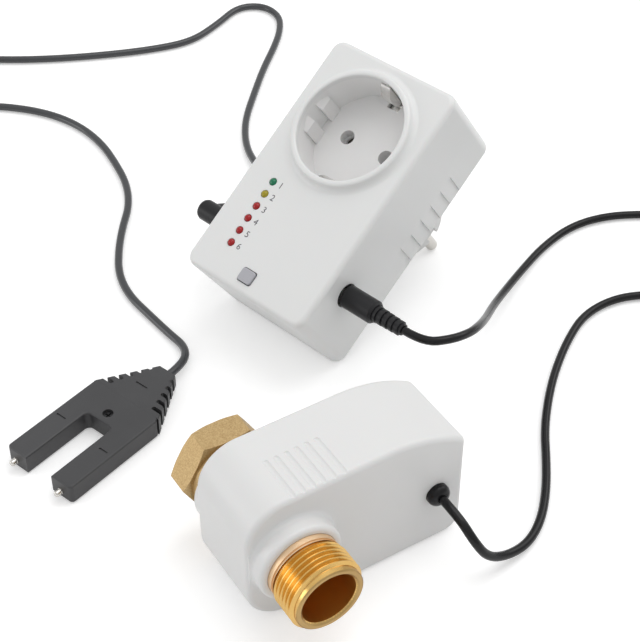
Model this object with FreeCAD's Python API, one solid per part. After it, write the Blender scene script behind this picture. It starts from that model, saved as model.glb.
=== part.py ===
import FreeCAD, Part
import math
import os

# Water leak shutoff kit: a plug-in controller, a motor ball valve and a fork-shaped water sensor,
# joined by two cords. Millimetres. The floor that all three lie on is z = 0.
# The origin is on the floor right under the crossing of the valve's pipe axis and stem axis.
# The pipe runs along Y with its male thread towards -Y, the stem and gears run along X.

V = FreeCAD.Vector
X = V(1, 0, 0)
Y = V(0, 1, 0)
Z = V(0, 0, 1)
os.makedirs("parts", exist_ok=True)

# Clearances
fit_gap = 0.1          # between rigid pieces that seat in one another
run_gap = 0.05         # radial, at turning and sliding pieces
ball_gap = 0.1         # between the ball and its seats
show_gap = 0.3         # open seam that is left round caps and plugs

# Controller housing, in its own frame: x across, y from the socket end to the button end,
# z down from the face. Its width follows the through socket.
ctrl_length = 102.0
ctrl_depth = 41.0
ctrl_wall = 2.2
ctrl_corner = 4.5
ctrl_front_edge = 2.2
ctrl_back_edge = 3.0
ctrl_split = 21.0
lip_height = 2.0
lip_wall = 1.0
post_radius = 3.0
post_inset = 6.2
screw_radius = 1.4
screw_head_radius = 2.6
screw_head_height = 1.8
screw_bore_depth = 13.0
screw_recess = 6.0
groove_count = 6
groove_pitch = 6.5
groove_first = 21.1
groove_depth = 0.8
groove_run = 5.6        # each groove starts as a step and fades out over this length
groove_top = 26.4
groove_slant = 4.0

# Through socket
socket_radius = 21.5
socket_lip = 0.3        # the housing's rim covers the socket's wall by this much
socket_depth = 17.5
socket_ring_height = 3.4
socket_ring_width = 4.9
socket_seat_height = 0.8  # the socket's wall reaches this far up into the raised ring
socket_wall = 1.8
socket_floor = 2.0
socket_flange = 2.4
socket_flange_thickness = 1.5
socket_side_room = 1.6  # from the flange to the housing's side wall
socket_end_room = 1.3   # from the flange to the housing's end wall
socket_mouth_radius = socket_radius - socket_lip
socket_outer_radius = socket_radius + socket_wall
socket_floor_start = socket_depth - socket_ring_height
socket_floor_end = socket_floor_start + socket_floor
socket_flange_radius = socket_outer_radius + socket_flange
socket_y = ctrl_wall + socket_end_room + socket_flange_radius
ctrl_width = 2 * (ctrl_wall + socket_side_room + socket_flange_radius)
pin_pitch = 19.0
pin_radius = 2.4
pin_root_radius = pin_radius + 0.3
pin_hole_radius = pin_radius + 0.5
rib_width = 5.4
rib_gap = 5.0
rib_height = 2.4
rib_top = 0.8
rib_slope = 3.4
clip_width = 4.4
clip_bulge = 3.6
clip_slot_gap = 0.5
clip_thickness = 0.8
clip_seat = 0.2         # how far a finger stays inside the clip's own thickness
clip_tip_reach = 0.6
clip_tip_z = 1.2
clip_foot_reach = 1.2
clip_foot_height = 0.6
clip_bow_z = 8.4
contact_wall = 1.0
guide_wall = 1.2        # tubes behind the socket's floor that lead the pins to their contacts
guide_length = 4.0
guide_land = 1.2        # the tubes end as wide as the contacts' bore, behind a short cone
pin_room = 0.6          # left in front of a pin's tip
bar_width = 4.0
bar_thickness = 1.2

# Plug at the back
plug_y = 37.5
plug_radius = 18.3
plug_height = 23.0
plug_wall = 2.4
plug_flat_width = 5.0
plug_flat_depth = 2.2
plug_web = 1.6
plug_flange = 2.0       # the plug body is held by this flange inside the back wall
plug_flange_thickness = 1.5
pin_length = 19.0
pin_inside = 6.0
pin_flange_radius = 4.0
pin_flange_thickness = 1.6
strip_width = 4.0
strip_thickness = 0.8

# Board and what sits on it
board_top = 7.6
board_thickness = 1.6
board_from_socket = 1.7
board_from_end = 11.0
board_tab_from_end = 3.0
board_tab_half = 16.0
board_side_gap = 0.4
board_corner = 1.5
board_start = socket_y + socket_outer_radius + board_from_socket
board_end = ctrl_length - board_from_end
board_tab_end = ctrl_length - board_tab_from_end
board_back = board_top + board_thickness
led_x = -16.0
led_from_board = 6.0
led_first = board_start + led_from_board
led_pitch = 5.46
led_count = 6
led_radius = 1.5
led_flange_radius = 1.9
led_proud = 0.9
button_x = -1.5
button_from_end = 6.8
button_y = ctrl_length - button_from_end
button_width = 6.2
button_height = 5.2
button_proud = 0.9
button_travel = 0.5
button_collar = 1.0
switch_size = 6.0
switch_height = 3.4
plunger_radius = 1.7
jack_from_end = 21.4
jack_y = ctrl_length - jack_from_end
jack_width = 9.2
jack_reach = 13.0
jack_bore_radius = 3.1
jack_pin_radius = 1.0
jack_z = board_back + jack_width / 2
plug_barrel_radius = 2.75
plug_barrel_length = 9.5
buzzer_radius = 6.0
buzzer_height = 7.0
buzzer_from_jack = 6.0
buzzer_from_wall = 0.8
capacitor_radius = 4.0
capacitor_height = 14.0
capacitor_x = -4.0
capacitor_from_end = 3.0
transformer_height = 17.0
transformer_right = 9.0
transformer_gap = 1.5
transformer_overhang = 3.0
bobbin_from_start = 0.8
bobbin_height = 14.5
relay_height = 16.0
relay_gap = 2.0
relay_from_start = 1.8
relay_from_jack = 3.0
relay_from_wall = 1.3

# Jack plugs and cords
valve_plug_radius = 4.5
valve_plug_length = 14.6
valve_relief_length = 12.7
sensor_plug_radius = 4.2
sensor_plug_reach = 16.0
sensor_neck_from_end = 4.4
sensor_neck_radius = 3.3
sensor_neck_length = 19.0
sensor_neck_angle = 30.0
cord_diameter = 3.2
cord_relief_wall = 0.6

# How the controller lies: on its two pins and the lower back edge
ctrl_heading = -165.1
ctrl_place_x = 118.2
ctrl_place_y = 143.6

# Pipe: three-quarter inch parallel pipe thread, outer diameter 26.44, root 24.12, pitch 1.814
pipe_height = 28.0
thread_outer = 13.22
thread_root = 12.06
thread_pitch = 1.814
thread_neck = 2.0
neck_over_root = 0.5   # the plain neck behind the thread is this much wider than the root
thread_reach = 16.2    # the whole male end in front of the boss
mouth_radius = 9.7
bore_radius = 7.0
ball_radius = 11.0
ball_room = 0.4
chamber_shell = 2.3
chamber_bore = ball_radius + ball_room
chamber_radius = chamber_bore + chamber_shell
seat_radius = 10.0
seat_bore = bore_radius + 0.3
seat_start = 6.6
seat_out = ball_radius + 0.5
chamber_rear = seat_out + 0.5
chamber_front = chamber_rear + 1.0

# Valve housing: its half width, left and right ends and top follow what it holds
valve_wall = 2.0
valve_side_room = 1.5
valve_half = chamber_front + valve_side_room + valve_wall
valve_left = chamber_radius + show_gap + valve_wall
valve_slope_start = 36.0
valve_slope_drop = 8.7
valve_front_edge = 2.0
valve_back_edge = 2.8
valve_bottom_left = 15.6
valve_top_left = 15.0
valve_bottom_right = 6.0
valve_top_right = 3.0
boss_radius = 15.0
boss_height = 6.5
boss_edge = 1.8
boss_cove = 1.6        # hollow blend from the boss into the front wall
boss_cove_inset = 0.6
rear_boss_width = 2.0
rear_boss_height = 1.0
split_step_start = 13.6
split_step_end = 30.0
split_low = 14.5
grommet_from_right = 10.8
grommet_z = 22.7
grommet_radius = 4.1
grommet_neck = 2.9
grommet_dome = 3.6
grommet_flange = 1.2
notch_count = 6
notch_pitch = 3.7
notch_first = 1.6
notch_length = 17.5
notch_depth = 0.45
notch_radius = 1.3
valve_post_radius = 2.4
valve_post_from_side = 4.5
valve_post_left = 17.8
valve_post_from_right = 4.6
valve_screw_radius = 1.2
valve_screw_head = 2.1
valve_screw_head_height = 1.7
valve_screw_recess = 0.5
valve_screw_length = 24.0

# Hexagon end
hex_across = 29.6
hex_length = 10.2
hex_from_boss = 4.8
hex_chamfer = 1.0
hex_start = valve_half + rear_boss_height + hex_from_boss
hex_end = hex_start + hex_length
end_neck_radius = 14.0
female_root = 12.06
female_depth = 12.0
pipe_reach = valve_half + boss_height + thread_reach

# Stem and tower, from the ball outwards
stem_radius = 4.0
stem_shoulder_radius = 5.2
stem_shoulder_start = ball_radius + 0.2
stem_shoulder_end = stem_shoulder_start + 1.6
tang_width = 3.0
tang_depth = 2.6
tang_half_height = 4.4
stem_slot_end = stem_shoulder_start - tang_depth
packing_radius = 6.0
packing_start = stem_shoulder_end + 2.1
seal_section = 0.85
seal_offset = 0.9
nut_start = packing_start + 3.7
nut_head = 1.8
nut_across = 13.0
tower_radius = 8.2
flange_radius = 9.4
flange_end = nut_start + 1.9
flange_start = flange_end - 3.5

# Gear train, all axes along X; each stage starts where the one before it ends
gear_module = 0.55
big_teeth = 30
small_teeth = 12
tooth_play = 0.16
plate_thickness = 1.5
plate_side_room = 0.9
plate_half = valve_half - valve_wall - plate_side_room
plate_below_axis = 15.4
plate_gap = 0.8
gear_gap = 0.6
cam_width = 1.2
cam_radius = 6.0
cam_lobe = 8.2
cam_lobe_angle = 40.0
low_gear_width = 3.2
high_gear_width = 2.8
plate_front_end = flange_end + plate_thickness
cam_start = plate_front_end + plate_gap
cam_end = cam_start + cam_width
low_gear_start = cam_end + gear_gap
low_gear_end = low_gear_start + low_gear_width
high_gear_start = low_gear_end + gear_gap
high_gear_end = high_gear_start + high_gear_width
rear_plate_start = high_gear_end + plate_gap
gear_shaft_radius = 3.0
axle_radius = 1.0
idler_hub_radius = 1.9
pillar_radius = 1.7
pillar_inset = 2.3
pillar_below_axis = 8.0
pillar_above_axis = 17.0
motor_shaft_radius = 1.0
motor_radius = 12.0
motor_head_length = 10.0
motor_length = 24.0
motor_can_step = 2.0
motor_cap_radius = 2.5
motor_cap = 1.0
motor_collar_radius = 3.5
motor_collar = 0.9
motor_room = 5.5
motor_start = rear_plate_start + plate_thickness
limit_y = 6.0
limit_plunger_radius = 0.7
limit_plunger_drop = 6.8   # below the stem axis, clear of the lobe's sweep
limit_plunger_reach = 3.5
limit_body_height = 6.5
limit_body_length = 9.0
limit_body_width = 5.6
position_board_thickness = 1.2
position_board_end = 44.0
position_board_inset = 2.1
limit_plunger_top = pipe_height - limit_plunger_drop
limit_body_top = limit_plunger_top - limit_plunger_reach
position_board_z = limit_body_top - limit_body_height - position_board_thickness
position_board_half = plate_half - position_board_inset
position_stud_radius = 1.5
position_stud_inset = 2.0
idler_z = pipe_height + gear_module * (big_teeth + small_teeth) / 2
gear_addendum = 0.85 * gear_module
gear_headroom = 1.2325
valve_top = idler_z + gear_module * big_teeth / 2 + gear_addendum + gear_headroom + valve_wall
valve_right_top = valve_top - valve_slope_drop
valve_right = motor_start + motor_length + motor_cap + motor_room + valve_wall
grommet_x = valve_right - grommet_from_right
valve_post_right = valve_right - valve_post_from_right
valve_post_y = valve_half - valve_post_from_side

# Water sensor, in its own frame: x from the prong tips to the cable, y to the left
sensor_length = 43.0
sensor_width = 32.0
sensor_wall = 1.4
sensor_thickness = 8.0
sensor_corner = 1.6
sensor_edge = 0.8
slot_width = 12.6
sensor_bridge = 13.4    # solid bridge behind the slot
slot_length = sensor_length - sensor_bridge
slot_corner = 2.0
probe_outward = 0.05    # the pins stand this far outside the prongs' middle
probe_pitch = (sensor_width + slot_width) / 2 + 2 * probe_outward
probe_radius = 1.2
probe_out = 3.2
probe_in = 9.0
relief_length = 21.0
relief_end = sensor_length + relief_length
relief_end_half_z = 2.9
relief_half = 4.2
relief_gap_count = 5
relief_gap_width = 1.7
relief_gap_pitch = 3.7
relief_first_gap = 2.2
relief_gap_depth = 4.8   # the first gap's reach in from the taper's side
relief_gap_shrink = 0.75 # each next gap is shorter by this
relief_tongue = 4.0
sensor_screw_from_end = 9.3
sensor_screw_x = sensor_length - sensor_screw_from_end
sensor_screw_radius = 1.3
sensor_screw_head = 1.9
sensor_screw_head_height = 1.6
sensor_screw_recess = 1.2
sensor_post_wall = 1.4
sensor_board_thickness = 1.2
sensor_arm_width = 5.2
mark_width = 0.7
mark_depth = 0.45
shell_marks = ((22.0, 9.6, 13.9), (19.7, -13.7, -9.9))  # x, and y from and to
relief_mark = (9.0, -1.5, 4.0)  # behind the shells, and y from and to
sensor_heading = 18.3
sensor_place_x = -46.3
sensor_place_y = 76.4

# Coils of put-away cord
coil_pitch = 3.9
coil_layer = 3.85
coil_radius = 25.0
sensor_coil_centre = V(-1, 337, 0)
sensor_coil_start = 50.0
sensor_coil_turns = 11.56
sensor_coil_layers = 4
valve_coil_centre = V(244, 37, 0)
valve_coil_start = 52.0
valve_coil_turns = 6.49
valve_coil_layers = 2

parts = {}


def keep(name, shape):
    """Holds a finished piece under its node name."""
    parts[name] = shape


def fused(first, *others):
    """Joins solids and merges the faces that run on."""
    return first.fuse(list(others)).removeSplitter()


def cylinder(radius, start, axis, length):
    return Part.makeCylinder(radius, length, start, axis)


def box(x0, x1, y0, y1, z0, z1):
    return Part.makeBox(x1 - x0, y1 - y0, z1 - z0, V(x0, y0, z0))


def rounded_face(x0, x1, y0, y1, radius, z):
    """A flat rectangle with four round corners."""
    k = radius * (1 - math.sqrt(0.5))
    corners = [
        (V(x1 - radius, y0, z), V(x1 - k, y0 + k, z), V(x1, y0 + radius, z)),
        (V(x1, y1 - radius, z), V(x1 - k, y1 - k, z), V(x1 - radius, y1, z)),
        (V(x0 + radius, y1, z), V(x0 + k, y1 - k, z), V(x0, y1 - radius, z)),
        (V(x0, y0 + radius, z), V(x0 + k, y0 + k, z), V(x0 + radius, y0, z)),
    ]
    edges = []
    for i, (start, middle, end) in enumerate(corners):
        edges.append(Part.Arc(start, middle, end).toShape())
        edges.append(Part.LineSegment(end, corners[(i + 1) % 4][0]).toShape())
    return Part.Face(Part.Wire(edges))


def slab(x0, x1, y0, y1, radius, z0, z1):
    """A plate with round corners."""
    return rounded_face(x0, x1, y0, y1, radius, z0).extrude(V(0, 0, z1 - z0))


def polygon_face(points):
    return Part.Face(Part.makePolygon(points + [points[0]]))


def turned(points, base, axis):
    """A solid of revolution: points are (radius, distance along the axis)."""
    side = X if abs(axis.dot(X)) < 0.5 else Y
    ring = [base + side * r + axis * h for r, h in points]
    return polygon_face(ring).revolve(base, axis, 360)


def edges_at(shape, test):
    """The edges whose middle passes a test."""
    return [e for e in shape.Edges if test(e.CenterOfMass, e)]


def tube_path(points):
    """Straight runs joined by arcs that are as large as the two runs beside each corner allow."""
    edges = []
    radii = []
    at = points[0]
    for before, corner, after in zip(points, points[1:], points[2:]):
        way_in = (corner - before).normalize()
        way_out = (after - corner).normalize()
        half = way_in.getAngle(way_out) / 2
        reach = 0.45 * min((corner - before).Length, (after - corner).Length)
        radii.append(reach / math.tan(half))
        first = corner - way_in * reach
        last = corner + way_out * reach
        inward = (way_out - way_in).normalize()
        middle = corner + inward * (radii[-1] / math.cos(half) - radii[-1])
        edges.append(Part.LineSegment(at, first).toShape())
        edges.append(Part.Arc(first, middle, last).toShape())
        at = last
    edges.append(Part.LineSegment(at, points[-1]).toShape())
    return Part.Wire(edges), radii


def sweep(wire, radius):
    """A round tube along a wire."""
    start = wire.Edges[0]
    at = start.valueAt(start.FirstParameter)
    way = start.tangentAt(start.FirstParameter)
    ring = Part.Wire(Part.Circle(at, way, radius).toShape())
    return wire.makePipeShell([ring], True, False)


def cord_tube(name, points, diameter):
    """A free stretch of cord; prints its radii and compares its volume with section times length."""
    wire, radii = tube_path(points)
    tube = sweep(wire, diameter / 2)
    ratio = tube.Volume / (math.pi * diameter ** 2 / 4 * wire.Length)
    text = " ".join("%.1f" % r for r in radii)
    print("%s length %.1f volume ratio %.4f radii %s" % (name, wire.Length, ratio, text))
    keep(name, tube)
    return wire.Length


def coil_point(centre, start, turns, layers, side, diameter, t):
    """A point of the coil after the angle t.

    It spirals in, climbs a layer while it turns back, and spirals out.
    """
    span = 2 * math.pi * turns / layers
    rate = coil_pitch / (2 * math.pi)
    layer = min(int(t / span), layers - 1)
    along = t - layer * span
    quarter = math.pi / 2
    if layer % 2 == 0:
        depth = along
    else:
        depth = span - along
    climb = layer * coil_layer
    nearest = round(t / span)
    away = t - nearest * span
    if 0 < nearest < layers and abs(away) < quarter:
        blend = (away ** 2 + quarter ** 2) / (2 * quarter)
        depth = span - blend if nearest % 2 == 1 else blend
        share = (away + quarter) / (2 * quarter)
        climb = (nearest - 1 + share * share * (3 - 2 * share)) * coil_layer
    radius = coil_radius - rate * depth
    angle = math.radians(start) + side * t
    height = diameter / 2 + climb
    return centre + V(radius * math.cos(angle), radius * math.sin(angle), height)


def biarc(p0, d0, p1, d1):
    """Two arcs that leave p0 along d0 and reach p1 along d1."""
    v = p1 - p0
    t = d0 + d1
    a = 2 * (1 - d0.dot(d1))
    reach = (math.sqrt(v.dot(t) ** 2 + a * v.dot(v)) - v.dot(t)) / a
    q0 = p0 + d0 * reach
    q1 = p1 - d1 * reach
    joint = (q0 + q1) * 0.5
    arcs = []
    for start, corner, end in ((p0, q0, joint), (joint, q1, p1)):
        half_chord = (end - start).Length / 2
        lift = corner - (start + end) * 0.5
        turn = 2 * math.acos(min(1.0, half_chord / (corner - start).Length))
        middle = (start + end) * 0.5 + lift.normalize() * (half_chord * math.tan(turn / 4))
        arcs.append(Part.Arc(start, middle, end).toShape())
    return arcs


def coil_tube(name, centre, start, turns, layers, side, diameter):
    """One unbroken tube that is wound into a neat round coil, with straight ends of one diameter."""
    total = 2 * math.pi * turns
    count = round(turns * 4)

    def place(t):
        return coil_point(centre, start, turns, layers, side, diameter, t)

    def heading(t):
        step = 1e-4
        return (place(min(t + step, total)) - place(max(t - step, 0.0))).normalize()

    nodes = [(place(total * i / count), heading(total * i / count)) for i in range(count + 1)]
    edges = [Part.LineSegment(nodes[0][0] - nodes[0][1] * diameter, nodes[0][0]).toShape()]
    for (p0, d0), (p1, d1) in zip(nodes, nodes[1:]):
        edges.extend(biarc(p0, d0, p1, d1))
    edges.append(Part.LineSegment(nodes[-1][0], nodes[-1][0] + nodes[-1][1] * diameter).toShape())
    wire = Part.Wire(edges)
    tube = sweep(wire, diameter / 2)
    ratio = tube.Volume / (math.pi * diameter ** 2 / 4 * wire.Length)
    steps = 48
    line = [place(2 * math.pi * i / steps) for i in range(int(turns * steps) + 1)]
    least = min(
        (line[i] - line[j]).Length - diameter
        for i in range(len(line))
        for j in range(i + steps // 3, len(line))
    )
    print("%s length %.1f volume ratio %.4f least gap %.2f" % (name, wire.Length, ratio, least))
    keep(name, tube)
    first = nodes[0][0] - nodes[0][1] * diameter
    last = nodes[-1][0] + nodes[-1][1] * diameter
    return wire.Length, first, nodes[0][1], last, nodes[-1][1]


# Controller

screw_seat_z = ctrl_depth - screw_recess
rest_edge_y = ctrl_length - ctrl_back_edge
rest_edge_z = ctrl_depth - ctrl_back_edge
pin_tip = ctrl_depth + plug_height + pin_length
rest_pin_z = pin_tip - pin_radius
rest_run = rest_edge_y - plug_y
rest_rise = rest_pin_z - rest_edge_z
rest_span = math.hypot(rest_run, rest_rise)
ctrl_tilt = math.atan2(rest_rise, rest_run) - math.asin((ctrl_back_edge - pin_radius) / rest_span)
heading_rad = math.radians(ctrl_heading)
heading = V(math.cos(heading_rad), math.sin(heading_rad), 0)
ctrl_along = heading * math.cos(ctrl_tilt) - Z * math.sin(ctrl_tilt)
ctrl_out = heading * math.sin(ctrl_tilt) + Z * math.cos(ctrl_tilt)
ctrl_across = ctrl_out.cross(ctrl_along)
ctrl_lift = plug_y * math.sin(ctrl_tilt) + rest_pin_z * math.cos(ctrl_tilt) + pin_radius
ctrl_corner_place = V(ctrl_place_x, ctrl_place_y, ctrl_lift)
ctrl_origin = ctrl_corner_place + ctrl_across * (ctrl_width / 2)


def placement(origin, ex, ey, ez):
    m = FreeCAD.Matrix(
        ex.x, ey.x, ez.x, origin.x, ex.y, ey.y, ez.y, origin.y, ex.z, ey.z, ez.z, origin.z, 0, 0, 0, 1
    )
    return FreeCAD.Placement(m)


ctrl_frame = placement(ctrl_origin, ctrl_across, ctrl_along, ctrl_out * -1)


def ctrl_keep(name, shape):
    """Turns a piece from the controller's frame into the common one and keeps it."""
    placed = shape.copy()
    placed.Placement = ctrl_frame.multiply(placed.Placement)
    keep(name, placed)


def ctrl_point(x, y, z):
    return ctrl_frame.multVec(V(x, y, z))


def ctrl_way(v):
    return ctrl_frame.Rotation.multVec(v)


half_width = ctrl_width / 2
post_places = [
    (sx * (half_width - post_inset), y)
    for sx in (-1, 1)
    for y in (post_inset, ctrl_length - post_inset)
]


def ctrl_inset(gap, z0, z1):
    """A block of the housing's outline, drawn in by a gap."""
    radius = max(ctrl_corner - gap, 0.5)
    return slab(-half_width + gap, half_width - gap, gap, ctrl_length - gap, radius, z0, z1)


def housing_block():
    block = ctrl_inset(0, 0, ctrl_depth)
    front = edges_at(block, lambda c, e: abs(c.z) < 0.01)
    block = block.makeFillet(ctrl_front_edge, front)
    back = edges_at(block, lambda c, e: abs(c.z - ctrl_depth) < 0.01)
    return block.makeFillet(ctrl_back_edge, back)


def side_grooves():
    """Grip grooves on the right-hand wall, near the back: each a step that fades out towards the buttons."""
    grooves = []
    bottom = half_width - groove_depth
    over = half_width + 0.1
    end = ctrl_depth + 1
    side = polygon_face([
        V(over, 0, groove_top), V(bottom, 0, groove_top + groove_slant), V(bottom, 0, end), V(over, 0, end)
    ])
    for i in range(groove_count):
        y = groove_first + i * groove_pitch
        plan = polygon_face([
            V(over, y, groove_top), V(bottom, y, groove_top), V(over, y + groove_run, groove_top)
        ])
        step = plan.extrude(Z * (end - groove_top))
        band = side.extrude(Y * groove_run)
        band.translate(V(0, y, 0))
        grooves.append(step.common(band))
    return grooves


def front_shell():
    shell = housing_block().common(box(-half_width, half_width, 0, ctrl_length, 0, ctrl_split))
    shell = shell.cut(ctrl_inset(ctrl_wall, ctrl_wall, ctrl_split))
    mouth = socket_mouth_radius
    top = -socket_ring_height
    centre = V(0, socket_y, 0)

    def at(outward, z):
        return V(mouth + outward, socket_y, z)

    width = socket_ring_width
    edges = [
        Part.LineSegment(at(0, ctrl_wall), at(0, top + 0.8)).toShape(),
        Part.Arc(at(0, top + 0.8), at(0.25, top + 0.25), at(0.8, top)).toShape(),
        Part.LineSegment(at(0.8, top), at(1.2, top)).toShape(),
        Part.Arc(at(1.2, top), at(0.43 * width, top * 0.91), at(0.51 * width, top * 0.65)).toShape(),
        Part.Arc(at(0.51 * width, top * 0.65), at(0.68 * width, top * 0.2), at(width, 0)).toShape(),
        Part.LineSegment(at(width, 0), at(width, ctrl_wall)).toShape(),
        Part.LineSegment(at(width, ctrl_wall), at(0, ctrl_wall)).toShape(),
    ]
    ring = Part.Face(Part.Wire(edges)).revolve(centre, Z, 360)
    shell = fused(shell, ring)
    shell = shell.cut(cylinder(mouth, centre + V(0, 0, top), Z, ctrl_wall - top))
    seat = socket_outer_radius + fit_gap
    shell = shell.cut(cylinder(seat, centre + V(0, 0, -socket_seat_height), Z, ctrl_depth))
    led_holes = [
        cylinder(led_radius + fit_gap, V(led_x, led_first + i * led_pitch, -1), Z, ctrl_wall + 2)
        for i in range(led_count)
    ]
    hw = button_width / 2 + show_gap
    hh = button_height / 2 + show_gap
    window = slab(button_x - hw, button_x + hw, button_y - hh, button_y + hh, 1.0, -1, ctrl_wall + 1)
    shell = shell.cut(led_holes + [window])
    post_length = ctrl_split - ctrl_wall + 0.5
    posts = [cylinder(post_radius, V(x, y, ctrl_split - post_length), Z, post_length) for x, y in post_places]
    shell = fused(shell, *posts)
    bore_top = ctrl_split - screw_bore_depth
    bores = [cylinder(screw_radius, V(x, y, bore_top), Z, screw_bore_depth) for x, y in post_places]
    rebate = ctrl_inset(ctrl_wall - lip_wall - fit_gap, ctrl_split - lip_height - fit_gap, ctrl_split)
    keep_in = ctrl_inset(ctrl_wall, ctrl_split - lip_height - fit_gap, ctrl_split)
    return shell.cut(bores + jack_holes() + [rebate.cut(keep_in)])


def jack_holes():
    radius = valve_plug_radius + show_gap
    return [
        cylinder(radius, V(-half_width - 1, jack_y, jack_z), X, ctrl_wall + 2),
        cylinder(radius, V(half_width - ctrl_wall - 1, jack_y, jack_z), X, ctrl_wall + 2),
    ]


def rear_shell():
    """The back half of the housing, with a round hole that the plug body stands in."""
    shell = housing_block().common(box(-half_width, half_width, 0, ctrl_length, ctrl_split, ctrl_depth))
    shell = shell.cut(ctrl_inset(ctrl_wall, ctrl_split, ctrl_depth - ctrl_wall))
    lip = ctrl_inset(ctrl_wall - lip_wall, ctrl_split - lip_height, ctrl_split)
    lip = lip.cut(ctrl_inset(ctrl_wall, ctrl_split - lip_height, ctrl_split))
    posts = [
        cylinder(post_radius, V(x, y, ctrl_split), Z, ctrl_depth - ctrl_split - 0.5)
        for x, y in post_places
    ]
    shell = fused(shell, lip, *posts)
    hole = cylinder(plug_radius + fit_gap, V(0, plug_y, ctrl_split), Z, ctrl_depth)
    cuts = [hole] + side_grooves()
    for x, y in post_places:
        cuts.append(cylinder(screw_radius + fit_gap, V(x, y, ctrl_split - 1), Z, ctrl_depth))
        cuts.append(cylinder(screw_head_radius + fit_gap, V(x, y, screw_seat_z), Z, screw_recess + 1))
    return shell.cut(cuts)


def plug_body():
    """The round body of the plug: a hollow cup with a web, held by its flange inside the back wall."""
    inside = ctrl_depth - ctrl_wall
    face = ctrl_depth + plug_height
    base = V(0, plug_y, inside - plug_flange_thickness)
    collar = cylinder(plug_radius, base, Z, face - base.z)
    rim = edges_at(collar, lambda c, e: abs(c.z - face) < 0.01)
    collar = collar.makeFillet(1.2, rim)
    flange = cylinder(plug_radius + plug_flange, base, Z, plug_flange_thickness)
    body = fused(collar, flange)
    cuts = [cylinder(plug_radius - plug_wall, base - Z, Z, face - plug_wall - base.z + 1)]
    flat = plug_flat_width / 2
    for side in (-1, 1):
        near = side * (plug_radius - plug_flat_depth)
        far = side * (plug_radius + 1)
        cuts.append(
            box(min(near, far), max(near, far), plug_y - flat, plug_y + flat, ctrl_depth + 2, pin_tip)
        )
        root = V(side * pin_pitch / 2, plug_y, ctrl_depth)
        cuts.append(cylinder(pin_root_radius + fit_gap, root, Z, plug_height + 1))
        cuts.append(earth_strip(side, fit_gap))
    body = body.cut(cuts)
    reach = plug_radius - plug_wall + 0.2
    half_web = plug_web / 2
    web = box(-half_web, half_web, plug_y - reach, plug_y + reach, base.z, face - plug_wall)
    return fused(body, web)


def earth_strip(side, gap):
    """A strip in the plug body's rim that meets the wall socket's earth clip."""
    r0 = plug_radius - strip_thickness
    half = strip_width / 2 + gap
    y0 = plug_y + side * (r0 - gap)
    y1 = plug_y + side * (plug_radius + 0.4)
    z0 = ctrl_depth + 3.0 - gap
    z1 = ctrl_depth + plug_height - 2.0 + gap
    strip = box(-half, half, min(y0, y1), max(y0, y1), z0, z1)
    return strip


def clip_slots():
    """The slots that the earth clip's fingers stand in, through the socket's wall and floor."""
    slots = []
    half = clip_width / 2 + clip_slot_gap
    for side in (-1, 1):
        y0 = socket_y + side * (socket_radius - clip_bulge - clip_slot_gap)
        y1 = socket_y + side * (socket_radius + clip_thickness + clip_slot_gap)
        slots.append(box(-half, half, min(y0, y1), max(y0, y1), 0.8, socket_floor_end + 1))
    return slots


def socket_insert():
    """The socket's round wall with its flange and guide ribs."""
    centre = V(0, socket_y, 0)
    top = show_gap - socket_seat_height
    body = cylinder(socket_outer_radius, centre + V(0, 0, top), Z, socket_floor_start - top)
    flange = cylinder(socket_flange_radius, centre + V(0, 0, ctrl_wall), Z, socket_flange_thickness)
    body = fused(body, flange)
    body = body.cut(cylinder(socket_radius, centre + V(0, 0, top - 1), Z, socket_floor_start + 2))
    ribs = []
    inside = cylinder(socket_radius + 0.5, centre, Z, socket_floor_start)
    for side in (-1, 1):
        near = side * (socket_radius - rib_height)
        far = side * (socket_radius + 0.4)
        for step in (-1, 1):
            y0 = socket_y + step * (rib_gap + rib_width) / 2 - rib_width / 2
            outline = polygon_face([
                V(near, y0, rib_top + rib_slope), V(near, y0, socket_floor_start),
                V(far, y0, socket_floor_start), V(far, y0, rib_top),
            ])
            ribs.append(outline.extrude(Y * rib_width).common(inside))
    return fused(body, *ribs).cut(clip_slots())


def socket_base():
    """The socket's floor with its two pin holes and the tubes that lead on to the contacts."""
    disc = cylinder(socket_outer_radius, V(0, socket_y, socket_floor_start), Z, socket_floor)
    places = [V(side * pin_pitch / 2, socket_y, socket_floor_start) for side in (-1, 1)]
    length = socket_floor + guide_length
    tubes = [cylinder(pin_hole_radius + guide_wall, at, Z, length) for at in places]
    land = length - guide_land
    narrow = pin_radius + run_gap
    hole = [
        (0, -1), (pin_hole_radius, -1), (pin_hole_radius, land - 0.8), (narrow, land),
        (narrow, length + 1), (0, length + 1),
    ]
    holes = [turned(hole, at, Z) for at in places]
    return fused(disc, *tubes).cut(holes + clip_slots())


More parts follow.
